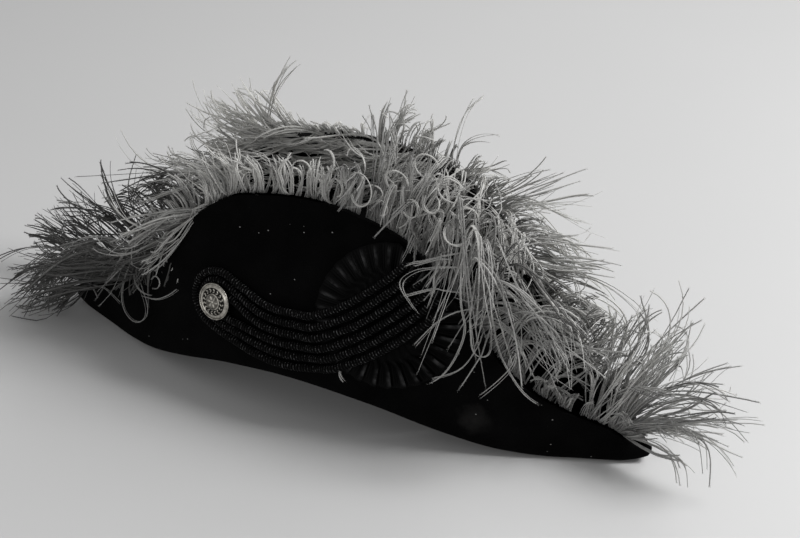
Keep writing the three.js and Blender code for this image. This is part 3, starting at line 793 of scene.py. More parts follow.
def crown_point(u, v):
    """Point of the crown's outer face, from its rim, which follows the brim, to its top."""
    angle = WHOLE_TURN * u
    rise = np.sin(v * math.pi / 2)
    share = np.maximum(1 - rise ** CROWN_FULLNESS, 0) ** (1 / CROWN_FULLNESS)
    rim = column("fold_height", HEAD_HALF_LENGTH * np.cos(angle))
    x = HEAD_HALF_LENGTH * share * np.cos(angle)
    y = HEAD_HALF_WIDTH * share * np.sin(angle)
    return np.stack([x + MIDDLE, y, rim + (CROWN_TOP - rim) * rise], -1)


def make_felt_body(felt):
    """The brim and the crown."""
    finish = felt_finish(felt)
    brim = bmesh.new()
    for side in (NEAR, FAR):
        columns = 2 * WING_COLUMNS + HEAD_COLUMNS
        mapped_grid(brim, columns, BRIM_ROWS, lambda u, v, side=side: brim_point(side, u, v))
    close_seams(brim, (MIDDLE, 0, 2 * CROWN_TOP))
    thicken(add_piece("felt_brim", brim, [finish], "felt", "brim"), felt.brim_wall, felt.rounding)
    crown = bmesh.new()
    mapped_grid(crown, CROWN_COLUMNS, CROWN_ROWS, crown_point)
    close_seams(crown, (MIDDLE, 0, CROWN_TOP / 2))
    thicken(add_piece("felt_crown", crown, [finish], "felt", "crown"), felt.crown_wall, felt.rounding)


# Cockade: knife pleats round a flat middle. A pleat's outline, in shares of its width and height
PLEAT_OUTLINE = np.array([
    (0, 0.08),
    (0.3, 0.1),
    (0.55, 0.18),
    (0.74, 0.62),
    (0.88, 0.94),
    (1.02, 1),
    (1.16, 0.9),
    (1.2, 0.66),
    (1.1, 0.34),
    (1.01, 0.12),
])
PLEAT_STEPS = 14
COCKADE_ROWS = 26
PLEATS_FROM = 0.56  # share of the radius at which the pleats start
PLEATS_FULL = 0.68
GATHERS_FROM = 0.12  # share of the radius at which the gathers of the middle start
GATHERS_FULL = 0.4
HEM_FROM = 0.9
REACH_STEP = 0.5 * MM
REACH_STEPS = 60

# Heights on the cockade, in shares of its thickness
PLEAT_FOOT = 0.16
PLEAT_RISE = 0.84
HEM_DROP = 0.25
MIDDLE_LIFT = 0.62
MIDDLE_WAVE = 0.1
MIDDLE_WAVE_TURN = 9  # radians of that wave from the middle to the rim
GATHER_WAVE = 0.125


def cockade_reach(angle):
    """Radius of the cockade in each direction, which stops short of the flap's edge."""
    reach = np.full_like(angle, COCKADE_RADIUS)
    for _ in range(REACH_STEPS):
        x = COCKADE_ALONG + reach * np.cos(angle)
        z = COCKADE_HEIGHT + reach * FLAP_SLOPE * np.sin(angle)
        beyond = z > edge_height(NEAR, x) - COCKADE_EDGE_MARGIN
        reach = np.where(beyond, reach - REACH_STEP, reach)
    return reach


def cockade_point(cockade, u, v):
    """Point of the cockade's face: pleats folded over one another outside, fine gathers inside."""
    pleat = np.minimum(np.floor(u * cockade.pleats + 1e-9), cockade.pleats - 1)
    phase = u * cockade.pleats - pleat
    outline = np.linspace(0, 1, len(PLEAT_OUTLINE) + 1)
    closed = np.vstack([PLEAT_OUTLINE, (1, PLEAT_OUTLINE[0, 1])])
    folded = np.interp(phase, outline, closed[:, 0])
    height = np.interp(phase, outline, closed[:, 1])
    pleated = smooth_step(v, PLEATS_FROM, PLEATS_FULL)
    turn = (pleat + phase + (folded - phase) * pleated) / cockade.pleats
    angle = WHOLE_TURN * turn
    share = v * cockade_reach(angle)
    x = COCKADE_ALONG + share * np.cos(angle)
    z = COCKADE_HEIGHT + share * FLAP_SLOPE * np.sin(angle)
    gathered = smooth_step(v, GATHERS_FROM, GATHERS_FULL)
    gather = GATHER_WAVE * np.sin(WHOLE_TURN * u * cockade.pleats) * gathered
    middle = MIDDLE_LIFT + MIDDLE_WAVE * np.cos(v * MIDDLE_WAVE_TURN) + gather
    hem = 1 - HEM_DROP * smooth_step(v, HEM_FROM, 1)
    lift = middle * (1 - pleated) + (PLEAT_FOOT + PLEAT_RISE * height * hem) * pleated
    room = COCKADE_THICKNESS - cockade.wall - CORD_SEAT
    return on_flap(NEAR, x, z, CORD_SEAT + cockade.wall + lift * room)


def make_cockade(cockade):
    """The pleated ribbon."""
    bm = bmesh.new()
    columns = cockade.pleats * PLEAT_STEPS
    mapped_grid(bm, columns, COCKADE_ROWS, lambda u, v: cockade_point(cockade, u, v), "ribbon")
    inside = on_flap(NEAR, COCKADE_ALONG, COCKADE_HEIGHT, -COCKADE_RADIUS)
    close_seams(bm, inside)
    piece = add_piece("pleated_cockade", bm, [ribbon_finish(cockade)], "ribbon", "cockade")
    thicken(piece, cockade.wall, cockade.wall / 4, even=False)


# Cord loops of coiled gimp
LINE_STEPS = 120  # along the middle line of the loops
TURN_STEPS = 24  # round the button
COIL_STEPS = 7  # along the cord, to each turn of its coil
COIL_SIDES = 12
COIL_POWER = 0.7  # a lower one makes the crests of the coil broader


def loop_route(loop):
    """Line of one loop on the near flap: down towards the button, round it and back, at even distances."""
    flat = LOOP_LINE / (1, FLAP_SLOPE)
    middle = smooth_line(flat, LINE_STEPS)
    heading = unit(np.gradient(middle, axis=0))
    run = np.linspace(0, distances(middle)[-1], len(middle))
    offset = loop.at_button + (loop.at_edge - loop.at_button) * smooth_step(run, 0, SPREAD_LENGTH)
    beside = np.stack([-heading[:, 1], heading[:, 0]], -1) * offset[:, None]
    start = math.atan2(heading[0, 1], heading[0, 0])
    angles = start + math.pi * (0.5 + np.arange(1, TURN_STEPS) / TURN_STEPS)
    turn = middle[0] + loop.at_button * np.stack([np.cos(angles), np.sin(angles)], -1)
    return np.concatenate([(middle + beside)[::-1], turn, middle - beside])


def cord_height(x, z):
    """Height of a cord's middle over the felt, raised where it crosses the cockade."""
    over = 1 - smooth_step(cockade_distance(x, z), CORD_OVER_FULL, CORD_OVER_NONE)
    return CORD_RADIUS + CORD_SEAT + COCKADE_THICKNESS * over


def coil_ridge(turns, u, v):
    """How far a place of the coil is up its ridge, from 0 in a groove to 1 on the crest."""
    return np.abs(np.sin(math.pi * (u * turns + v))) ** COIL_POWER


def coil_point(loop, cord, turns, u, v):
    """Point of a cord's coiled face, with u along the cord and v round it."""
    route = loop_route(loop)
    x, z = route[:, 0], route[:, 1] * FLAP_SLOPE
    line = on_flap(NEAR, x, z, cord_height(x, z))
    run = distances(line)
    at = u * run[-1]
    ahead = unit(columns_at(at, run, np.gradient(line, axis=0)))
    up = unit(columns_at(at, run, flap_normal(NEAR, x, z)))
    side = unit(np.cross(ahead, up))
    up = np.cross(side, ahead)
    angle = WHOLE_TURN * v
    radius = CORD_RADIUS * (1 - cord.groove * (1 - coil_ridge(turns, u, v)))
    ring = np.cos(angle)[:, None] * side + np.sin(angle)[:, None] * up
    return columns_at(at, run, line) + ring * radius[:, None]


def make_loop_cords(cord):
    """The three loops of gimp."""
    finish = gimp_finish(cord)
    for loop in LOOPS:
        turns = round(distances(loop_route(loop))[-1] / cord.pitch)
        bm = bmesh.new()
        # the ridge values also place the painted shade of the grooves
        mapped_grid(bm, turns * COIL_STEPS, COIL_SIDES,
                    lambda u, v, loop=loop, turns=turns: coil_point(loop, cord, turns, u, v),
                    ridge=lambda u, v, turns=turns: coil_ridge(turns, u, v))
        bmesh.ops.remove_doubles(bm, verts=bm.verts, dist=0.005 * MM)
        bmesh.ops.holes_fill(bm, edges=bm.edges, sides=0)
        bmesh.ops.recalc_face_normals(bm, faces=bm.faces)
        add_piece("gimp_" + loop.name, bm, [finish], "cord", loop.name)


# Button: a turned disc on a shank, with a rope rim, a wreath of leaves and a rosette, in millimetres
BUTTON_PROFILE = (
    (0, 0.5),
    (3.5, 0.5),
    (3.5, 6.2),
    (11.4, 6.2),
    (12.4, 6.6),
    (12.75, 7.2),
    (12.6, 7.8),
    (12.25, 7.95),
    (12, 7.6),
    (11.7, 7.6),
    (11.4, 8.0),
    (10.6, 8.3),
    (10, 8.45),
    (9.7, 8.45),
    (9.55, 8.2),
    (5.6, 8.7),
    (5.45, 9.1),
    (5.1, 9.2),
    (2.5, 9.4),
    (0, 9.45),
)
GROUNDS = ((5.6, 9.55), (11.6, 12.05))  # radii of the sunk rings under the wreath and inside the rim
MEDALLION = 5.1  # radius
BUTTON_STEPS = 72

# Rings of raised drops: how many, where, their half-sizes, and their slant in degrees
Ornament = namedtuple("Ornament", "count radius height size slant")
EDGE_BEADS = Ornament(60, 12.25, 7.85, (0.45, 0.3, 0.22), 30)
LEAVES_OUTSIDE = Ornament(16, 8.35, 8.45, (1.2, 0.5, 0.4), 50)
LEAVES_INSIDE = Ornament(16, 6.85, 8.65, (1.1, 0.45, 0.4), 130)
PETALS = Ornament(6, 2.7, 9.3, (1.7, 0.8, 0.3), 0)
BOSS = Ornament(1, 0, 9.45, (1.0, 1.0, 0.35), 0)


def add_ornament(bm, ornament):
    """A ring of raised drops on the button's face."""
    for i in range(ornament.count):
        turn = Matrix.Rotation(WHOLE_TURN * i / ornament.count, 4, "Z")
        shift = Matrix.Translation((ornament.radius, 0, ornament.height))
        slant = Matrix.Rotation(math.radians(ornament.slant), 4, "Z")
        place = turn @ shift @ slant @ Matrix.Diagonal((*ornament.size, 1))
        bmesh.ops.create_uvsphere(bm, u_segments=8, v_segments=6, radius=1, matrix=place)


def make_button(button):
    """The button, turned about +Z in millimetres and then set on the flap."""
    bm = bmesh.new()
    profile = [bm.verts.new((radius, 0, height)) for radius, height in BUTTON_PROFILE]
    edges = [bm.edges.new(pair) for pair in zip(profile, profile[1:])]
    bmesh.ops.spin(bm, geom=profile + edges, cent=(0, 0, 0), axis=(0, 0, 1), angle=WHOLE_TURN,
                   steps=BUTTON_STEPS, use_merge=True, use_duplicate=False)
    bmesh.ops.remove_doubles(bm, verts=bm.verts, dist=1e-4)
    bmesh.ops.recalc_face_normals(bm, faces=bm.faces)
    for face in bm.faces:
        middle = face.calc_center_median()
        if middle.z < BUTTON_PROFILE[-1][1] / 2:
            continue
        if any(low < middle.xy.length < high for low, high in GROUNDS):
            face.material_index = 1
        elif middle.xy.length < MEDALLION:
            face.material_index = 2
    for ornament in (EDGE_BEADS, LEAVES_OUTSIDE, LEAVES_INSIDE, PETALS, BOSS):
        add_ornament(bm, ornament)
    along, height = LOOP_LINE[0]
    lean = Vector(flap_normal(NEAR, along, height)).to_track_quat("Z", "Y").to_matrix().to_4x4()
    seat = Matrix.Translation(on_flap(NEAR, along, height, 0)) @ lean
    bmesh.ops.transform(bm, matrix=seat @ Matrix.Diagonal((MM, MM, MM, 1)), verts=bm.verts)
    raised = gilt_finish("button_gilt", button.gilt, button.worn, roughness=0.2)
    ground = gilt_finish("button_ground", button.ground, button.tarnish, roughness=0.45)
    medallion = gilt_finish("button_medallion", button.worn, button.ground, roughness=0.3)
    add_piece("ornate_button", bm, [raised, ground, medallion], "button", "button")


# Feathers: the tapes and the roots, and what the barbs keep clear of
TAPE_DEPTH = 3.2 * MM  # from the flap's outer face to the outside of the tape
TAPE_BELOW = 1 * MM  # from the flap's edge to the tape
TAPE_FOOT = 12 * MM  # from the flap's edge to the foot of the tape
TAPE_SHARE = 0.93  # of the length of the felt
TAPE_COLUMNS = 160
TAPE_ROWS = 4
ROOT_ABOVE = 1 * MM  # from the flap's edge up to the roots
ROOT_LIMIT = 214 * MM  # from the middle, towards either point
TRIM_CLEARANCE = 1.2 * MM
COCKADE_CLEARANCE = 10.5 * MM
FLOOR_CLEARANCE = 1.6 * MM
INSIDE_CLEARANCE = 1.3  # inwards from the flap's outer face, in walls of the felt
OVERHANG_SHARE = 0.025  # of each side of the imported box, by which a barb may pass it, with a fixed part
OVERHANG = 8 * MM
SECTORS = (("back", -1, -70 * MM), ("middle", -70 * MM, 60 * MM), ("front", 60 * MM, 1))

# Kinds of locks: length of the scattered ones, to the listed length, their looseness, how far below the edge
# they start, and the hooks, the width and the tone of their barbs beside those of the long locks
Kind = namedtuple("Kind", "sizes loose drop hook wide lighter")
LONG = Kind((0.55, 1.0), 0.22, 0, 1, 1, 0)
SHORT = Kind((0.7, 1.1), 0.13, 0, 0.3, 1, -0.12)
# painted light: the inner barbs are made paler, standing in for light in the far flap's shade
INNER = Kind((0.6, 1.1), 0.12, 38 * MM, 0.3, 1.25, 0.45)

# How far locks differ from the listed ones
LOCK_SCATTER = 0.6  # along the edge, to the spread of the tuft
LOCK_CHANGE = 0.02  # of the length, for each millimetre of that spread
LOCK_CHANGE_MOST = 0.13
LOCK_SIZE = (0.96, 0.1)  # usual share of the listed length, and how it varies
LOCK_SIZE_LIMITS = (0.6, 1.08)
PLACED_BEND = 0.7  # change half way along a lock, to the change at its tip
SCATTERED_BEND = 0.6
DROP_POWER = 1.5  # a higher one brings the dropped roots nearer to the edge

# How locks wind and hook, and how their barbs differ from them
WIND_AXIS = (0.3, 0.2, 0.93)  # a direction that no barb follows
WIND_SHAPE = 1.3  # a lower one leaves more locks nearly straight
WIND_MOST = 2.2  # times the setting of the curls
WIND_SIZES = (0.6, 1.4)
WIND_TURNS = (0.35, 1.1)
WIND_TURNS_VARY = 0.1
WIND_POWERS = (1.4, 3.2)  # a higher one winds later
HOOK_FROM = 0.4  # share of a barb at which its end starts to turn over
HOOK_MOST = 1.6  # times the setting of the hooks
HOOK_SIZES = (0.7, 1.3)
PHASES_VARY = 0.5  # radians, of the windings and of the barbs' flats

# How the barbs of a lock differ, and how each is shaped
BARB_DEPTHS = 1 * MM  # of the roots, from the outside of the tape
BARB_LENGTHS = (0.75, 1)
BARB_DRIFT = 0.035  # at the tip, to the length
BARB_DRIFT_POWER = 1.5
BARB_WIDTHS = (0.7, 1.2)
BARB_SIDES = 4
BARB_TWIST = 1.8  # turn of a barb's flat from its root to its tip
FLAT_AXIS = (0.31, 0.83, 0.47)  # a direction that no barb follows
TIP_FROM = 0.985  # share of a barb at which its blunt tip starts
TIP_TAPER = 0.35
TIP_TAPER_POWER = 3

# Tones: where along the edge the painted shade and painted light start and where they are full, and how
# locks and barbs differ
# painted shade towards the back point, and a little towards the front point
PAINTED_SHADE_BEHIND = (70 * MM, 170 * MM)
PAINTED_SHADE_BEFORE = (100 * MM, 150 * MM)
PAINTED_SHADE_BEFORE_SHARE = 0.2
# painted light: a paler band of barbs behind the middle
PAINTED_LIGHT_MIDDLE = -55 * MM
PAINTED_LIGHT_FADES = (45 * MM, 80 * MM)
SHADE_STARTS = (-10 * MM, 30 * MM)
SHADE_ENDS = (150 * MM, 190 * MM)
LOCK_TONES_VARY = 0.18
BARB_TONES_VARY = 0.07
PAINTED_ROOT_SHADE = 0.5  # painted shade at the root: the tone there, to the tone of the barb
PAINTED_ROOT_SHADE_RISE = 1.2  # along the whole barb, up to its own tone

# Stray barbs and curls
STRAY_TWINS = 2  # barbs side by side on each line
STRAY_SMOOTHING = 6  # passes that even out each line
STRAY_SWAY = 0.7 * MM
STRAY_SCATTER = 0.35 * MM
STRAY_RADIUS = 0.3  # to the width of a barb
STRAY_PAINTED_SHADE = 1 / 3  # of the usual painted shade towards the back point
CURL_RADIUS = 0.42
CURL_LIGHTER = 0.25
CURL_MARKS = 9

# Barbules
FLUFF_FROM = 0.03  # share of a barb
FLUFF_UNTIL = 0.999
FLUFF_SCATTER = 0.4  # along the barb, to the distance between them
FLUFF_FOOT = 0.6  # out from the barb's middle, to its half-width
FLUFF_STRAY = 0.35
FLUFF_SIZES = (0.5, 1.2)
FLUFF_LIGHTER = 0.05
Barbs = namedtuple("Barbs", "lines radius tone turn")
Locks = namedtuple("Locks", "along bend reach drop curl")


def placed_locks(rng, tufts):
    """Locks of the listed tufts, each a little different, and more so in a wide tuft."""
    rows = [tuft for tuft in tufts for _ in range(tuft.locks)]
    along, bend, reach, spread, _, curl = (np.array(values, float) for values in zip(*rows))
    change = np.minimum(LOCK_CHANGE * spread, LOCK_CHANGE_MOST)[:, None]
    change = np.linalg.norm(reach, axis=1, keepdims=True) * change
    along = along + LOCK_SCATTER * spread * rng.normal(0, 1, len(rows))
    size = np.clip(rng.normal(*LOCK_SIZE, (len(rows), 1)), *LOCK_SIZE_LIMITS)
    bend = bend * size + PLACED_BEND * change * rng.normal(0, 1, bend.shape)
    reach = reach * size + change * rng.normal(0, 1, reach.shape)
    return Locks(along * MM, bend * MM, reach * MM, np.zeros(len(rows)), curl)


def scattered_locks(rng, tufts, count, kind):
    """Locks at random places, shaped between the listed tufts on either side."""
    tufts = sorted(tufts, key=lambda tuft: tuft.along)
    marks = np.array([tuft.along for tuft in tufts], float)
    shapes = np.array([(*tuft.bend, *tuft.reach, tuft.curl) for tuft in tufts], float)
    along = rng.uniform(marks[0], marks[-1], count)
    bend, reach, curl = np.split(columns_at(along, marks, shapes), (3, 6), axis=1)
    size = rng.uniform(*kind.sizes, (count, 1))
    length = size * np.linalg.norm(reach, axis=1, keepdims=True)
    bend = bend * size + SCATTERED_BEND * kind.loose * length * rng.normal(0, 1, bend.shape)
    reach = reach * size + kind.loose * length * rng.normal(0, 1, reach.shape)
    drop = rng.uniform(0, 1, count) ** DROP_POWER * kind.drop
    return Locks(along * MM, bend * MM, reach * MM, drop, curl[:, 0])


def wound(rng, lines, share, curl):
    """Lines wound about themselves, more and more towards their tips; a lock's lines keep together."""
    barbs = lines.shape[:2]
    locks = (barbs[0], 1)
    chord = unit(lines[:, :, -1] - lines[:, :, 0])
    across = unit(np.cross(chord, WIND_AXIS))
    other = np.cross(chord, across)
    size = np.minimum(rng.gamma(WIND_SHAPE, 1, locks), WIND_MOST) * curl * rng.uniform(*WIND_SIZES, barbs)
    phase = rng.uniform(0, WHOLE_TURN, locks) + rng.normal(0, PHASES_VARY, barbs)
    turns = rng.uniform(*WIND_TURNS, locks) + rng.normal(0, WIND_TURNS_VARY, barbs)
    power = rng.uniform(*WIND_POWERS, (*locks, 1))
    angle = (phase[..., None] + WHOLE_TURN * turns[..., None] * share)[..., None]
    wide = (size[..., None] * share ** power)[..., None]
    return lines + wide * (np.cos(angle) * across[:, :, None] + np.sin(angle) * other[:, :, None])


def hooked(rng, lines, share, hook):
    """Lines whose ends turn over, the lines of a lock the same way."""
    locks, barbs = lines.shape[:2]
    axis = unit(rng.normal(0, 1, (locks, 1, 1, 3)))
    most = np.clip(rng.normal(0, 1, (locks, 1)), -HOOK_MOST, HOOK_MOST) * hook
    most = most * rng.uniform(*HOOK_SIZES, (locks, barbs))
    angle = (most[..., None] * np.maximum(share[..., 1:] - HOOK_FROM, 0) / (1 - HOOK_FROM))[..., None]
    step = np.diff(lines, axis=2)
    level = axis * (axis * step).sum(-1, keepdims=True)
    turned = level + (step - level) * np.cos(angle) + np.cross(axis, step) * np.sin(angle)
    return np.concatenate([lines[:, :, :1], lines[:, :, :1] + np.cumsum(turned, axis=2)], 2)


def keep_clear(lines, felt_wall):
    """Moves points out of the flaps, the trim on the near flap and the floor."""
    lines = lines.copy()
    x, z = lines[..., 0] - MIDDLE, lines[..., 2]
    for side in (NEAR, FAR):
        out = side * lines[..., 1] - flap_width(side, x, z)
        beside = (z < edge_height(side, x)) & (np.abs(x) < POINT) & (side * lines[..., 1] > 0)
        beside &= z > column("fold_height", x)
        over = 1 - smooth_step(cockade_distance(x, z), CORD_OVER_FULL, CORD_OVER_NONE)
        outside = np.maximum(out, TRIM_CLEARANCE + (COCKADE_CLEARANCE * over if side == NEAR else 0))
        inside = np.minimum(out, -INSIDE_CLEARANCE * felt_wall)
        cleared = np.where(out > -felt_wall / 2, outside, inside)
        lines[..., 1] += side * np.where(beside, cleared - out, 0)
    lines[..., 2] = np.maximum(z, FLOOR_CLEARANCE)
    return lines


def keep_within(lines):
    """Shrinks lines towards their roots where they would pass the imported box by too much."""
    low, high = (np.array(corner) for corner in CAD_BOX)
    margin = OVERHANG_SHARE * (high - low) + OVERHANG
    root = lines[:, :1]
    way = lines - root
    room = np.where(way > 0, high + margin - root, root - low + margin)
    size = np.min(room / np.maximum(np.abs(way), 1e-9), axis=(1, 2), keepdims=True)
    return root + way * np.clip(size, 0, 1)


def edge_tone(side, x, feather):
    """Usual tone of the barbs at places along an edge, with painted shade towards the points and on the near
    barbs before the middle, and painted light behind the middle and on the far barbs.
    """
    painted_shade = smooth_step(-x, *PAINTED_SHADE_BEHIND) + PAINTED_SHADE_BEFORE_SHARE * smooth_step(x, *PAINTED_SHADE_BEFORE)
    painted_light = 1 - smooth_step(np.abs(x - PAINTED_LIGHT_MIDDLE), *PAINTED_LIGHT_FADES)
    shade = smooth_step(x, *SHADE_STARTS) * (1 - smooth_step(x, *SHADE_ENDS))
    tone = feather.tone - feather.painted_shade * painted_shade + feather.painted_light * painted_light
    # painted light on the far barbs, painted shade on the near ones before the middle
    return tone + (feather.far_painted_light if side == FAR else -feather.shade * shade)


def grow(rng, side, locks, kind, feather, felt_wall):
    """Barbs of some locks, side by side at the root and drawn together towards the tip."""
    steps = feather.fringe_steps if kind is SHORT else feather.steps
    shape = (len(locks.along), feather.fringe_barbs if kind is SHORT else feather.barbs)
    length = np.linalg.norm(locks.reach, axis=1)[:, None]
    x = locks.along[:, None] + rng.normal(0, feather.lock_width, shape)
    x = np.clip(x, -ROOT_LIMIT, ROOT_LIMIT)
    depth = TAPE_DEPTH + np.abs(rng.normal(0, BARB_DEPTHS, shape))
    root = on_flap(side, x, edge_height(side, x) + ROOT_ABOVE - locks.drop[:, None], -depth)
    middle = root.mean(1, keepdims=True)
    share = np.append(np.linspace(0, TIP_FROM, steps - 1), 1) * rng.uniform(*BARB_LENGTHS, shape)[..., None]
    bend, reach = ((way * (1, side, 1))[:, None, None] for way in (locks.bend, locks.reach))
    drift = rng.normal(0, BARB_DRIFT, (*shape, 1, 3)) * length[..., None, None]
    s = share[..., None]
    lines = middle[:, :, None] + (root - middle)[:, :, None] * (1 - feather.clump * s)
    lines = lines + drift * s ** BARB_DRIFT_POWER
    lines = lines + 2 * s * (1 - s) * (2 * bend - reach / 2) + s * s * reach
    curl = feather.curl * locks.curl[:, None] * length
    hook = kind.hook * feather.hook * np.minimum(locks.curl, 1)[:, None]
    lines = hooked(rng, wound(rng, lines, share, curl), share, hook).reshape(-1, steps, 3)
    # the inner kind's lighter tone is painted light
    tone = edge_tone(side, x, feather) + kind.lighter
    tone = tone + rng.normal(0, LOCK_TONES_VARY, (shape[0], 1)) + rng.normal(0, BARB_TONES_VARY, shape)
    radius = kind.wide * feather.width / 2 * rng.uniform(*BARB_WIDTHS, shape)
    turn = rng.uniform(0, WHOLE_TURN, (shape[0], 1)) + rng.normal(0, PHASES_VARY, shape)
    return Barbs(keep_clear(keep_within(lines), felt_wall), radius.ravel(), tone.ravel(), turn.ravel())


def curl_marks(curl):
    """Marks along one curl: along, height and lift."""
    share = np.linspace(0, 1, CURL_MARKS)
    angle = np.radians(curl.start + curl.turn * share)
    size = curl.size * (1 - CURL_WINDING * share)
    lift = curl.lift + curl.size * np.sin(math.pi * share) / 2
    return np.stack([curl.along + size * np.cos(angle), curl.height + size * np.sin(angle), lift], -1)


def lay_stray_barbs(rng, feather):
    """Single barbs and curls that lie over the near flap and its trim."""
    lines = []
    for marks in (*STRAY_BARBS, *map(curl_marks, CURLS)):
        along, height, lift = (smooth_line(marks, 2 * feather.steps - 1) * MM).T
        line = on_flap(NEAR, along, height, lift)
        for _ in range(STRAY_SMOOTHING):
            line[1:-1] = (line[:-2] + 2 * line[1:-1] + line[2:]) / 4
        for _ in range(STRAY_TWINS):
            sway = np.linspace(0, 1, len(line))[:, None] * rng.normal(0, STRAY_SWAY, 3)
            lines.append(line + sway + rng.normal(0, STRAY_SCATTER, 3))
    lines = np.array(lines)
    curled = np.arange(len(lines)) >= STRAY_TWINS * len(STRAY_BARBS)
    radius = np.where(curled, CURL_RADIUS, STRAY_RADIUS) * feather.width
    # painted shade of the stray barbs towards the back point
    painted_shade = STRAY_PAINTED_SHADE * feather.painted_shade * smooth_step(-lines[:, 0, 0], *PAINTED_SHADE_BEHIND)
    tone = feather.tone - painted_shade + CURL_LIGHTER * curled
    return Barbs(lines, radius, tone, rng.uniform(0, WHOLE_TURN, len(lines)))


def barb_frames(barbs):
    """Directions along each barb, across its flat and out of its flat."""
    ahead = unit(np.gradient(barbs.lines, axis=1))
    level = unit(np.cross(ahead, FLAT_AXIS))
    upright = np.cross(ahead, level)
    turn = (barbs.turn[:, None] + BARB_TWIST * np.linspace(0, 1, ahead.shape[1]))[..., None]
    across = np.cos(turn) * level + np.sin(turn) * upright
    return ahead, across, np.cross(ahead, across)


def tube_arrays(barbs, flatness):
    """Vertices, corners, corner counts and tones, darkened towards the roots as painted shade, of closed
    flat tubes with blunt tips.
    """
    lines = barbs.lines
    count, steps, _ = lines.shape
    share = np.linspace(0, 1, steps)
    _, across, out = barb_frames(barbs)
    half = (barbs.radius[:, None] * (1 - TIP_TAPER * share ** TIP_TAPER_POWER))[..., None]
    wide, thin = half * across, flatness * half * out
    rings = lines[:, :, None] + np.stack([wide, thin, -wide, -thin], 2)
    points = np.concatenate([rings[:, :-1].reshape(count, -1, 3), lines[:, -1:]], 1)
    ring = np.arange(BARB_SIDES)
    after = np.roll(ring, -1)
    firsts = BARB_SIDES * np.arange(steps - 1)[:, None, None]
    walls = firsts[:-1] + np.stack([ring, after, after + BARB_SIDES, ring + BARB_SIDES], -1)
    tip = np.full_like(ring, BARB_SIDES)
    ends = firsts[-1] + np.stack([ring, after, tip], -1)
    corners = np.concatenate([walls.ravel(), ring[::-1], ends.ravel()])
    sizes = np.repeat((BARB_SIDES, 3), (BARB_SIDES * (steps - 2) + 1, BARB_SIDES))
    start = np.arange(count)[:, None] * points.shape[1]
    # painted shade: each barb darkens towards its root
    root = np.minimum(PAINTED_ROOT_SHADE + PAINTED_ROOT_SHADE_RISE * share, 1)
    tones = np.repeat(barbs.tone[:, None] * root[:-1], BARB_SIDES, axis=1)
    tones = np.concatenate([tones, barbs.tone[:, None]], 1)
    return points.reshape(-1, 3), (start + corners).ravel(), np.tile(sizes, count), tones.ravel()


def fluff_arrays(rng, barbs, feather):
    """The same of the barbules, which are slivers that stand out from both edges of each barb."""
    lines = barbs.lines
    count, steps, _ = lines.shape
    length = np.linalg.norm(np.diff(lines, axis=1), axis=2).sum(1).mean()
    number = round(length * feather.barbules / MM)
    at = np.linspace(FLUFF_FROM, 1, number) + rng.normal(0, FLUFF_SCATTER / number, (count, number))
    at = np.clip(at, 0, FLUFF_UNTIL) * (steps - 1)
    step = at.astype(int)
    row = np.arange(count)[:, None]
    start = lines[row, step]
    foot = start + (lines[row, step + 1] - start) * (at - step)[..., None]
    ahead, across, out = (way[row, step] for way in barb_frames(barbs))
    edge = across * np.where(np.arange(number) % 2, 1, -1)[:, None]
    foot = foot + FLUFF_FOOT * barbs.radius[:, None, None] * edge
    stray = rng.normal(0, FLUFF_STRAY, (count, number, 1))
    reach = feather.fluff * rng.uniform(*FLUFF_SIZES, (count, number, 1))
    tip = foot + reach * unit(edge + feather.fluff_lean * ahead + stray * out)
    half = feather.barbule_width / 2 * ahead
    points = np.stack([foot - half, foot + half, tip], 2).reshape(-1, 3)
    tones = np.repeat(barbs.tone + FLUFF_LIGHTER, 3 * number)
    return points, np.arange(len(points)), np.full(len(points) // 3, 3), tones


def barb_mesh(name, made):
    """One mesh of all the barbs of a piece, with a tone at each vertex."""
    points, corners, sizes, tones = zip(*made)
    shifts = np.cumsum([0, *map(len, points[:-1])])
    corners = np.concatenate([part + shift for part, shift in zip(corners, shifts)])
    points, sizes, tones = (np.concatenate(parts) for parts in (points, sizes, tones))
    starts = np.concatenate([[0], np.cumsum(sizes)[:-1]])
    mesh = bpy.data.meshes.new(name)
    mesh.vertices.add(len(points))
    mesh.loops.add(len(corners))
    mesh.polygons.add(len(sizes))
    mesh.vertices.foreach_set("co", points.astype(np.float32).ravel())
    mesh.loops.foreach_set("vertex_index", corners.astype(np.int32))
    mesh.polygons.foreach_set("loop_start", starts.astype(np.int32))
    mesh.update(calc_edges=True)
    mesh.attributes.new("tone", "FLOAT", "POINT").data.foreach_set("value", tones.astype(np.float32))
    return mesh


def in_sector(barbs, low, high):
    """The barbs whose roots lie in one stretch of the edge."""
    root = barbs.lines[:, 0, 0] - MIDDLE
    inside = (root >= low) & (root < high)
    return Barbs(*(values[inside] for values in barbs))


def tape_point(side, u, v):
    """Point of the tape inside a flap's edge."""
    x = (2 * u - 1) * TAPE_SHARE * POINT
    edge = edge_height(side, x)
    low = np.maximum(edge - TAPE_FOOT, column("fold_height", x) + FOLD_RADIUS)
    return on_flap(side, x, low + (edge - TAPE_BELOW - low) * v, -TAPE_DEPTH)


def grow_edge(rng, side, feather, felt_wall):
    """All the barbs of one flap, in groups."""
    tufts, fringe = (NEAR_TUFTS, NEAR_FRINGE) if side == NEAR else (FAR_TUFTS, FAR_FRINGE)
    planted = [
        (placed_locks(rng, tufts), LONG),
        (scattered_locks(rng, tufts, feather.filling, LONG), LONG),
        (scattered_locks(rng, fringe, feather.fringe_locks, SHORT), SHORT),
    ]
    groups = [grow(rng, side, locks, kind, feather, felt_wall) for locks, kind in planted]
    if side == NEAR:
        return [*groups, lay_stray_barbs(rng, feather)]
    inner = scattered_locks(rng, INNER_FRINGE, feather.inner_locks, INNER)
    return [*groups, grow(rng, side, inner, INNER, feather, felt_wall)]


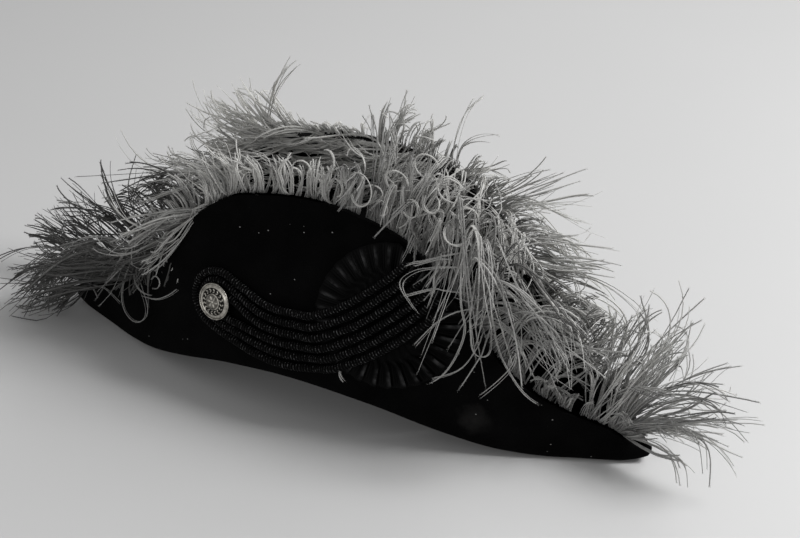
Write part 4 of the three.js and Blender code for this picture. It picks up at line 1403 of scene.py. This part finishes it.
def make_feather_trim(feather, felt_wall):
    """The barbs of both flaps, a piece for each sector, and the tapes that they are sewn to."""
    finish = feather_finish(feather)
    tape = tape_finish(feather)
    rng = np.random.default_rng(feather.seed)
    for side, word in ((NEAR, "near"), (FAR, "far")):
        node = "feather_trim_" + word
        groups = grow_edge(rng, side, feather, felt_wall)
        for sector, low, high in SECTORS:
            name = "barbs_" + word + "_" + sector
            chosen = [in_sector(group, low, high) for group in groups]
            chosen = [barbs for barbs in chosen if len(barbs.lines)]
            made = [tube_arrays(barbs, feather.flatness) for barbs in chosen]
            made += [fluff_arrays(rng, barbs, feather) for barbs in chosen]
            add_piece(name, barb_mesh(name, made), [finish], "feather", node)
        bm = bmesh.new()
        mapped_grid(bm, TAPE_COLUMNS, TAPE_ROWS, lambda u, v, side=side: tape_point(side, u, v))
        close_seams(bm, (MIDDLE, 0, 0))
        piece = add_piece("fringe_tape_" + word, bm, [tape], "feather", node)
        thicken(piece, feather.tape_wall, feather.tape_wall / 4)


# Stage
LOOK_AT = Vector((MIDDLE, 0, 60 * MM))
Light = namedtuple("Light", "name place size watts")
LIGHTS = (
    Light("key", (1.4, 0.34, 1.42), 0.7, 41),
    Light("back", (0.7, 1.6, 1.4), 1.2, 15),
    Light("front", (-0.3, -1.95, 0.65), 0.7, 7),
)


def add_aimed(name, data, place, direction):
    """A lamp or a camera at a place, turned to look in a direction."""
    made = add_object(name, data)
    made.location = place
    made.rotation_mode = "QUATERNION"
    made.rotation_quaternion = direction.to_track_quat("-Z", "Y")
    return made


def add_light(light, strength):
    """A square lamp that shines at the hat."""
    data = bpy.data.lights.new(light.name, "AREA")
    data.shape = "SQUARE"
    data.size = light.size
    data.energy = light.watts * strength
    place = Vector(light.place)
    add_aimed(light.name, data, place, LOOK_AT - place)


def add_camera(stage):
    """The camera at the photograph's viewing angle."""
    data = bpy.data.cameras.new("photo_view")
    data.lens = stage.lens
    data.sensor_width = 36
    turn, rise = stage.azimuth, stage.elevation
    right = Vector((math.cos(turn), math.sin(turn), 0))
    back = Vector((math.sin(turn) * math.cos(rise), -math.cos(turn) * math.cos(rise), math.sin(rise)))
    target = LOOK_AT + right * stage.pan + back.cross(right) * stage.lift
    camera = add_aimed("photo_view", data, target + back * stage.distance, -back)
    bpy.context.scene.camera = camera


def make_stage(stage):
    """The floor, the lamps, the light from all round and the camera."""
    bm = bmesh.new()
    bmesh.ops.create_grid(bm, x_segments=8, y_segments=8, size=stage.floor_size)
    floor = add_object("floor", mesh_of(bm, "floor"))
    floor.data.materials.append(floor_finish(stage))
    for light in LIGHTS:
        add_light(light, stage.strength)
    world = bpy.data.worlds.new("soft_room")
    world.use_nodes = True
    sky = world.node_tree.nodes["Background"]
    sky.inputs["Color"].default_value = rgba(stage.room)
    sky.inputs["Strength"].default_value = stage.room_strength
    bpy.context.scene.world = world
    bpy.context.scene.view_settings.view_transform = "Standard"
    add_camera(stage)


def colour_property(name, description, default):
    return FloatVectorProperty(
        name=name, description=description, default=default, subtype="COLOR", min=0, max=1)


def length_property(name, description, default):
    return FloatProperty(name=name, description=description, default=default, min=0, unit="LENGTH")


def angle_property(name, description, default):
    return FloatProperty(name=name, description=description, default=default, subtype="ANGLE")


def share_property(name, description, default):
    return FloatProperty(name=name, description=description, default=default, min=0, max=1)


def amount_property(name, description, default, least=0):
    return FloatProperty(name=name, description=description, default=default, min=least)


def count_property(name, description, default, least=1):
    return IntProperty(name=name, description=description, default=default, min=least)


class FeltSettings(bpy.types.PropertyGroup):
    """Sizes and colours of the felt body."""

    brim_wall: length_property("Brim wall", "Thickness of the brim's felt", 2.5 * MM)
    crown_wall: length_property("Crown wall", "Thickness of the crown's felt", 2 * MM)
    rounding: length_property("Rounding", "Rounding of the cut edges", 0.8 * MM)
    colour: colour_property("Colour", "Colour of the nap", (0.0006, 0.0006, 0.00063))
    bloom: colour_property("Bloom", "Colour of the nap where it is rubbed", (0.002, 0.002, 0.0021))
    dust: colour_property("Dust", "Colour of the dusty spot", (0.09, 0.088, 0.085))
    lint: colour_property("Lint", "Colour of the specks of lint", (0.4, 0.4, 0.39))
    sheen: share_property("Sheen", "Sheen of the nap", 0.004)
    worn_place: FloatVectorProperty(
        name="Worn place", description="Middle of the dusty spot", subtype="TRANSLATION", unit="LENGTH",
        default=tuple(on_flap(NEAR, 123 * MM, 29 * MM, 0)))


class CockadeSettings(bpy.types.PropertyGroup):
    """Pleats and colours of the cockade."""

    pleats: count_property("Pleats", "Knife pleats round the cockade", 30, 8)
    ribs: count_property("Ribs", "Woven ribs to each pleat", 12)
    wall: length_property("Ribbon", "Thickness of the ribbon", 0.7 * MM)
    colour: colour_property("Colour", "Colour of the ribbon", (0.0003, 0.0003, 0.00032))
    bloom: colour_property("Bloom", "Colour of the ribbon's paler threads", (0.0009, 0.0009, 0.00095))
    # painted highlight: the pale colour along the folds of the pleats
    rubbed: colour_property("Rubbed", "Colour of the ribbon along its folds", (0.05, 0.05, 0.051))


class CordSettings(bpy.types.PropertyGroup):
    """Coil and colours of the gimp cords."""

    pitch: length_property("Pitch", "Length of cord to each turn of the coil", 2 * MM)
    groove: share_property("Groove", "Depth of the grooves, to the radius", 0.32)
    colour: colour_property("Colour", "Colour of the threads on the crests", (0.0015, 0.0015, 0.00155))
    # painted highlights: the paler spots on the crests of the coil
    bloom: colour_property("Bloom", "Colour of the rubbed threads", (0.1, 0.1, 0.1005))
    # painted shade in the grooves of the coil
    grooves: colour_property("Grooves", "Colour of the grooves", (0.0003, 0.0003, 0.0003))


class ButtonSettings(bpy.types.PropertyGroup):
    """Metal of the button."""

    gilt: colour_property("Gilt", "Colour of the raised ornament", (0.48, 0.46, 0.415))
    worn: colour_property("Worn", "Colour of the worn gilt", (0.2, 0.19, 0.17))
    ground: colour_property("Ground", "Colour of the sunk ground", (0.03, 0.029, 0.026))
    tarnish: colour_property("Tarnish", "Colour of the tarnished ground", (0.012, 0.0115, 0.0105))


class FeatherSettings(bpy.types.PropertyGroup):
    """Number, thickness and colours of the barbs."""

    seed: count_property("Seed", "Seed of the barbs' places", 7, 0)
    barbs: count_property("Barbs", "Barbs to each lock", 3)
    filling: count_property("Filling", "Locks between the tufts of each flap", 40)
    fringe_locks: count_property("Fringe", "Short locks along each edge", 150)
    fringe_barbs: count_property("Fringe barbs", "Barbs to each short lock", 3)
    inner_locks: count_property("Inner locks", "Locks that lie inside the far flap", 330)
    steps: count_property("Steps", "Points along a barb", 15, 4)
    fringe_steps: count_property("Fringe steps", "Points along a short barb", 8, 4)
    width: length_property("Width", "Width of a barb", 1.1 * MM)
    flatness: amount_property("Flatness", "Thickness of a barb, to its width", 0.45, 0.1)
    lock_width: length_property("Lock width", "Spread of a lock at its root", 1.2 * MM)
    barbules: amount_property("Barbules", "Barbules to each millimetre of a barb", 1.5)
    fluff: length_property("Fluff", "Length of a barbule", 0.9 * MM)
    fluff_lean: amount_property("Lean", "Lean of the barbules towards the tip", 1.1)
    barbule_width: length_property("Barbule width", "Width of a barbule at its foot", 0.3 * MM)
    clump: share_property("Clump", "How far a lock draws together", 0.55)
    curl: amount_property("Curl", "Size of the curls, to the length", 0.085)
    hook: angle_property("Hook", "Usual turn of the tips", 1.0)
    tape_wall: length_property("Tape", "Thickness of the tape", 0.8 * MM)
    tone: share_property("Tone", "Middle tone of the barbs", 0.6)
    # painted shade towards the back point, and less towards the front one
    painted_shade: share_property("Dusk", "Darkening towards the back point, and less towards the front", 0.95)
    # painted light on the barbs behind the middle
    painted_light: share_property("Pale", "Paler tone of the barbs behind the middle", 0.25)
    shade: share_property("Shade", "Darker tone of the near barbs before the middle", 0.22)
    # painted light on the far barbs
    far_painted_light: share_property("Far tone", "Paler tone of the far barbs", 0.12)
    translucence: share_property("Translucence", "Light let through", 0.5)
    colour: colour_property("Colour", "Palest barbs", (0.76, 0.755, 0.735))
    shadow: colour_property("Shadow", "Darkest barbs", (0.06, 0.059, 0.057))
    tape: colour_property("Tape colour", "Colour of the tape", (0.002, 0.002, 0.002))


class StageSettings(bpy.types.PropertyGroup):
    """Camera, light and floor."""

    azimuth: angle_property("Azimuth", "Turn of the camera round the hat", math.radians(28.15))
    elevation: angle_property("Elevation", "Camera above the horizon", math.radians(29.48))
    distance: length_property("Distance", "From the camera to the hat", 1458.23 * MM)
    pan: length_property("Pan", "Shift of the view to the right", 37.07 * MM)
    lift: length_property("Lift", "Shift of the view upwards", 20.67 * MM)
    lens: FloatProperty(name="Lens", description="Focal length", default=96.37, unit="CAMERA")
    floor_size: length_property("Floor", "Half-width of the floor", 6.0)
    floor: colour_property("Floor colour", "Colour of the paper floor", (0.5, 0.5, 0.5))
    room: colour_property("Room colour", "Colour of the light from all round", (1, 1, 1))
    room_strength: amount_property("Room", "Light from all round", 0.4)
    strength: amount_property("Strength", "Strength of the lamps", 1)


class BicorneSettings(bpy.types.PropertyGroup):
    """All the settings of the hat."""

    felt: PointerProperty(type=FeltSettings)
    cockade: PointerProperty(type=CockadeSettings)
    cord: PointerProperty(type=CordSettings)
    button: PointerProperty(type=ButtonSettings)
    feather: PointerProperty(type=FeatherSettings)
    stage: PointerProperty(type=StageSettings)


class BICORNE_OT_felt_body(bpy.types.Operator):
    """Make the brim and the crown of black felt"""

    bl_idname = "bicorne.felt_body"
    bl_label = "Felt body"

    def execute(self, context):
        make_felt_body(context.scene.bicorne.felt)
        return {"FINISHED"}


class BICORNE_OT_cockade(bpy.types.Operator):
    """Make the pleated ribbon cockade"""

    bl_idname = "bicorne.cockade"
    bl_label = "Cockade"

    def execute(self, context):
        make_cockade(context.scene.bicorne.cockade)
        return {"FINISHED"}


class BICORNE_OT_loop_cords(bpy.types.Operator):
    """Make the three loops of gimp cord"""

    bl_idname = "bicorne.loop_cords"
    bl_label = "Loop cords"

    def execute(self, context):
        make_loop_cords(context.scene.bicorne.cord)
        return {"FINISHED"}


class BICORNE_OT_button(bpy.types.Operator):
    """Make the ornamented button"""

    bl_idname = "bicorne.button"
    bl_label = "Button"

    def execute(self, context):
        make_button(context.scene.bicorne.button)
        return {"FINISHED"}


class BICORNE_OT_feather_trim(bpy.types.Operator):
    """Make the feather fringe of both flaps"""

    bl_idname = "bicorne.feather_trim"
    bl_label = "Feather trim"

    def execute(self, context):
        settings = context.scene.bicorne
        make_feather_trim(settings.feather, settings.felt.brim_wall)
        return {"FINISHED"}


class BICORNE_OT_stage(bpy.types.Operator):
    """Make the floor, the lights and the camera"""

    bl_idname = "bicorne.stage"
    bl_label = "Stage"

    def execute(self, context):
        make_stage(context.scene.bicorne.stage)
        return {"FINISHED"}


class VIEW3D_PT_bicorne(bpy.types.Panel):
    """The hat's pieces and their settings"""

    bl_label = "Bicorne"
    bl_space_type = "VIEW_3D"
    bl_region_type = "UI"
    bl_category = "Bicorne"

    def draw(self, context):
        settings = context.scene.bicorne
        rows = (
            (BICORNE_OT_stage, settings.stage),
            (BICORNE_OT_felt_body, settings.felt),
            (BICORNE_OT_cockade, settings.cockade),
            (BICORNE_OT_loop_cords, settings.cord),
            (BICORNE_OT_button, settings.button),
            (BICORNE_OT_feather_trim, settings.feather),
        )
        for operator, group in rows:
            box = self.layout.box()
            box.operator(operator.bl_idname)
            for name in group.__annotations__:
                box.prop(group, name)


CLASSES = (
    FeltSettings,
    CockadeSettings,
    CordSettings,
    ButtonSettings,
    FeatherSettings,
    StageSettings,
    BicorneSettings,
    BICORNE_OT_felt_body,
    BICORNE_OT_cockade,
    BICORNE_OT_loop_cords,
    BICORNE_OT_button,
    BICORNE_OT_feather_trim,
    BICORNE_OT_stage,
    VIEW3D_PT_bicorne,
)


def register():
    for cls in CLASSES:
        bpy.utils.register_class(cls)
    bpy.types.Scene.bicorne = PointerProperty(type=BicorneSettings)


def unregister():
    del bpy.types.Scene.bicorne
    for cls in reversed(CLASSES):
        bpy.utils.unregister_class(cls)


def main():
    register()
    bpy.ops.bicorne.stage()
    bpy.ops.bicorne.felt_body()
    bpy.ops.bicorne.cockade()
    bpy.ops.bicorne.loop_cords()
    bpy.ops.bicorne.button()
    bpy.ops.bicorne.feather_trim()


if __name__ == "__main__":
    main()
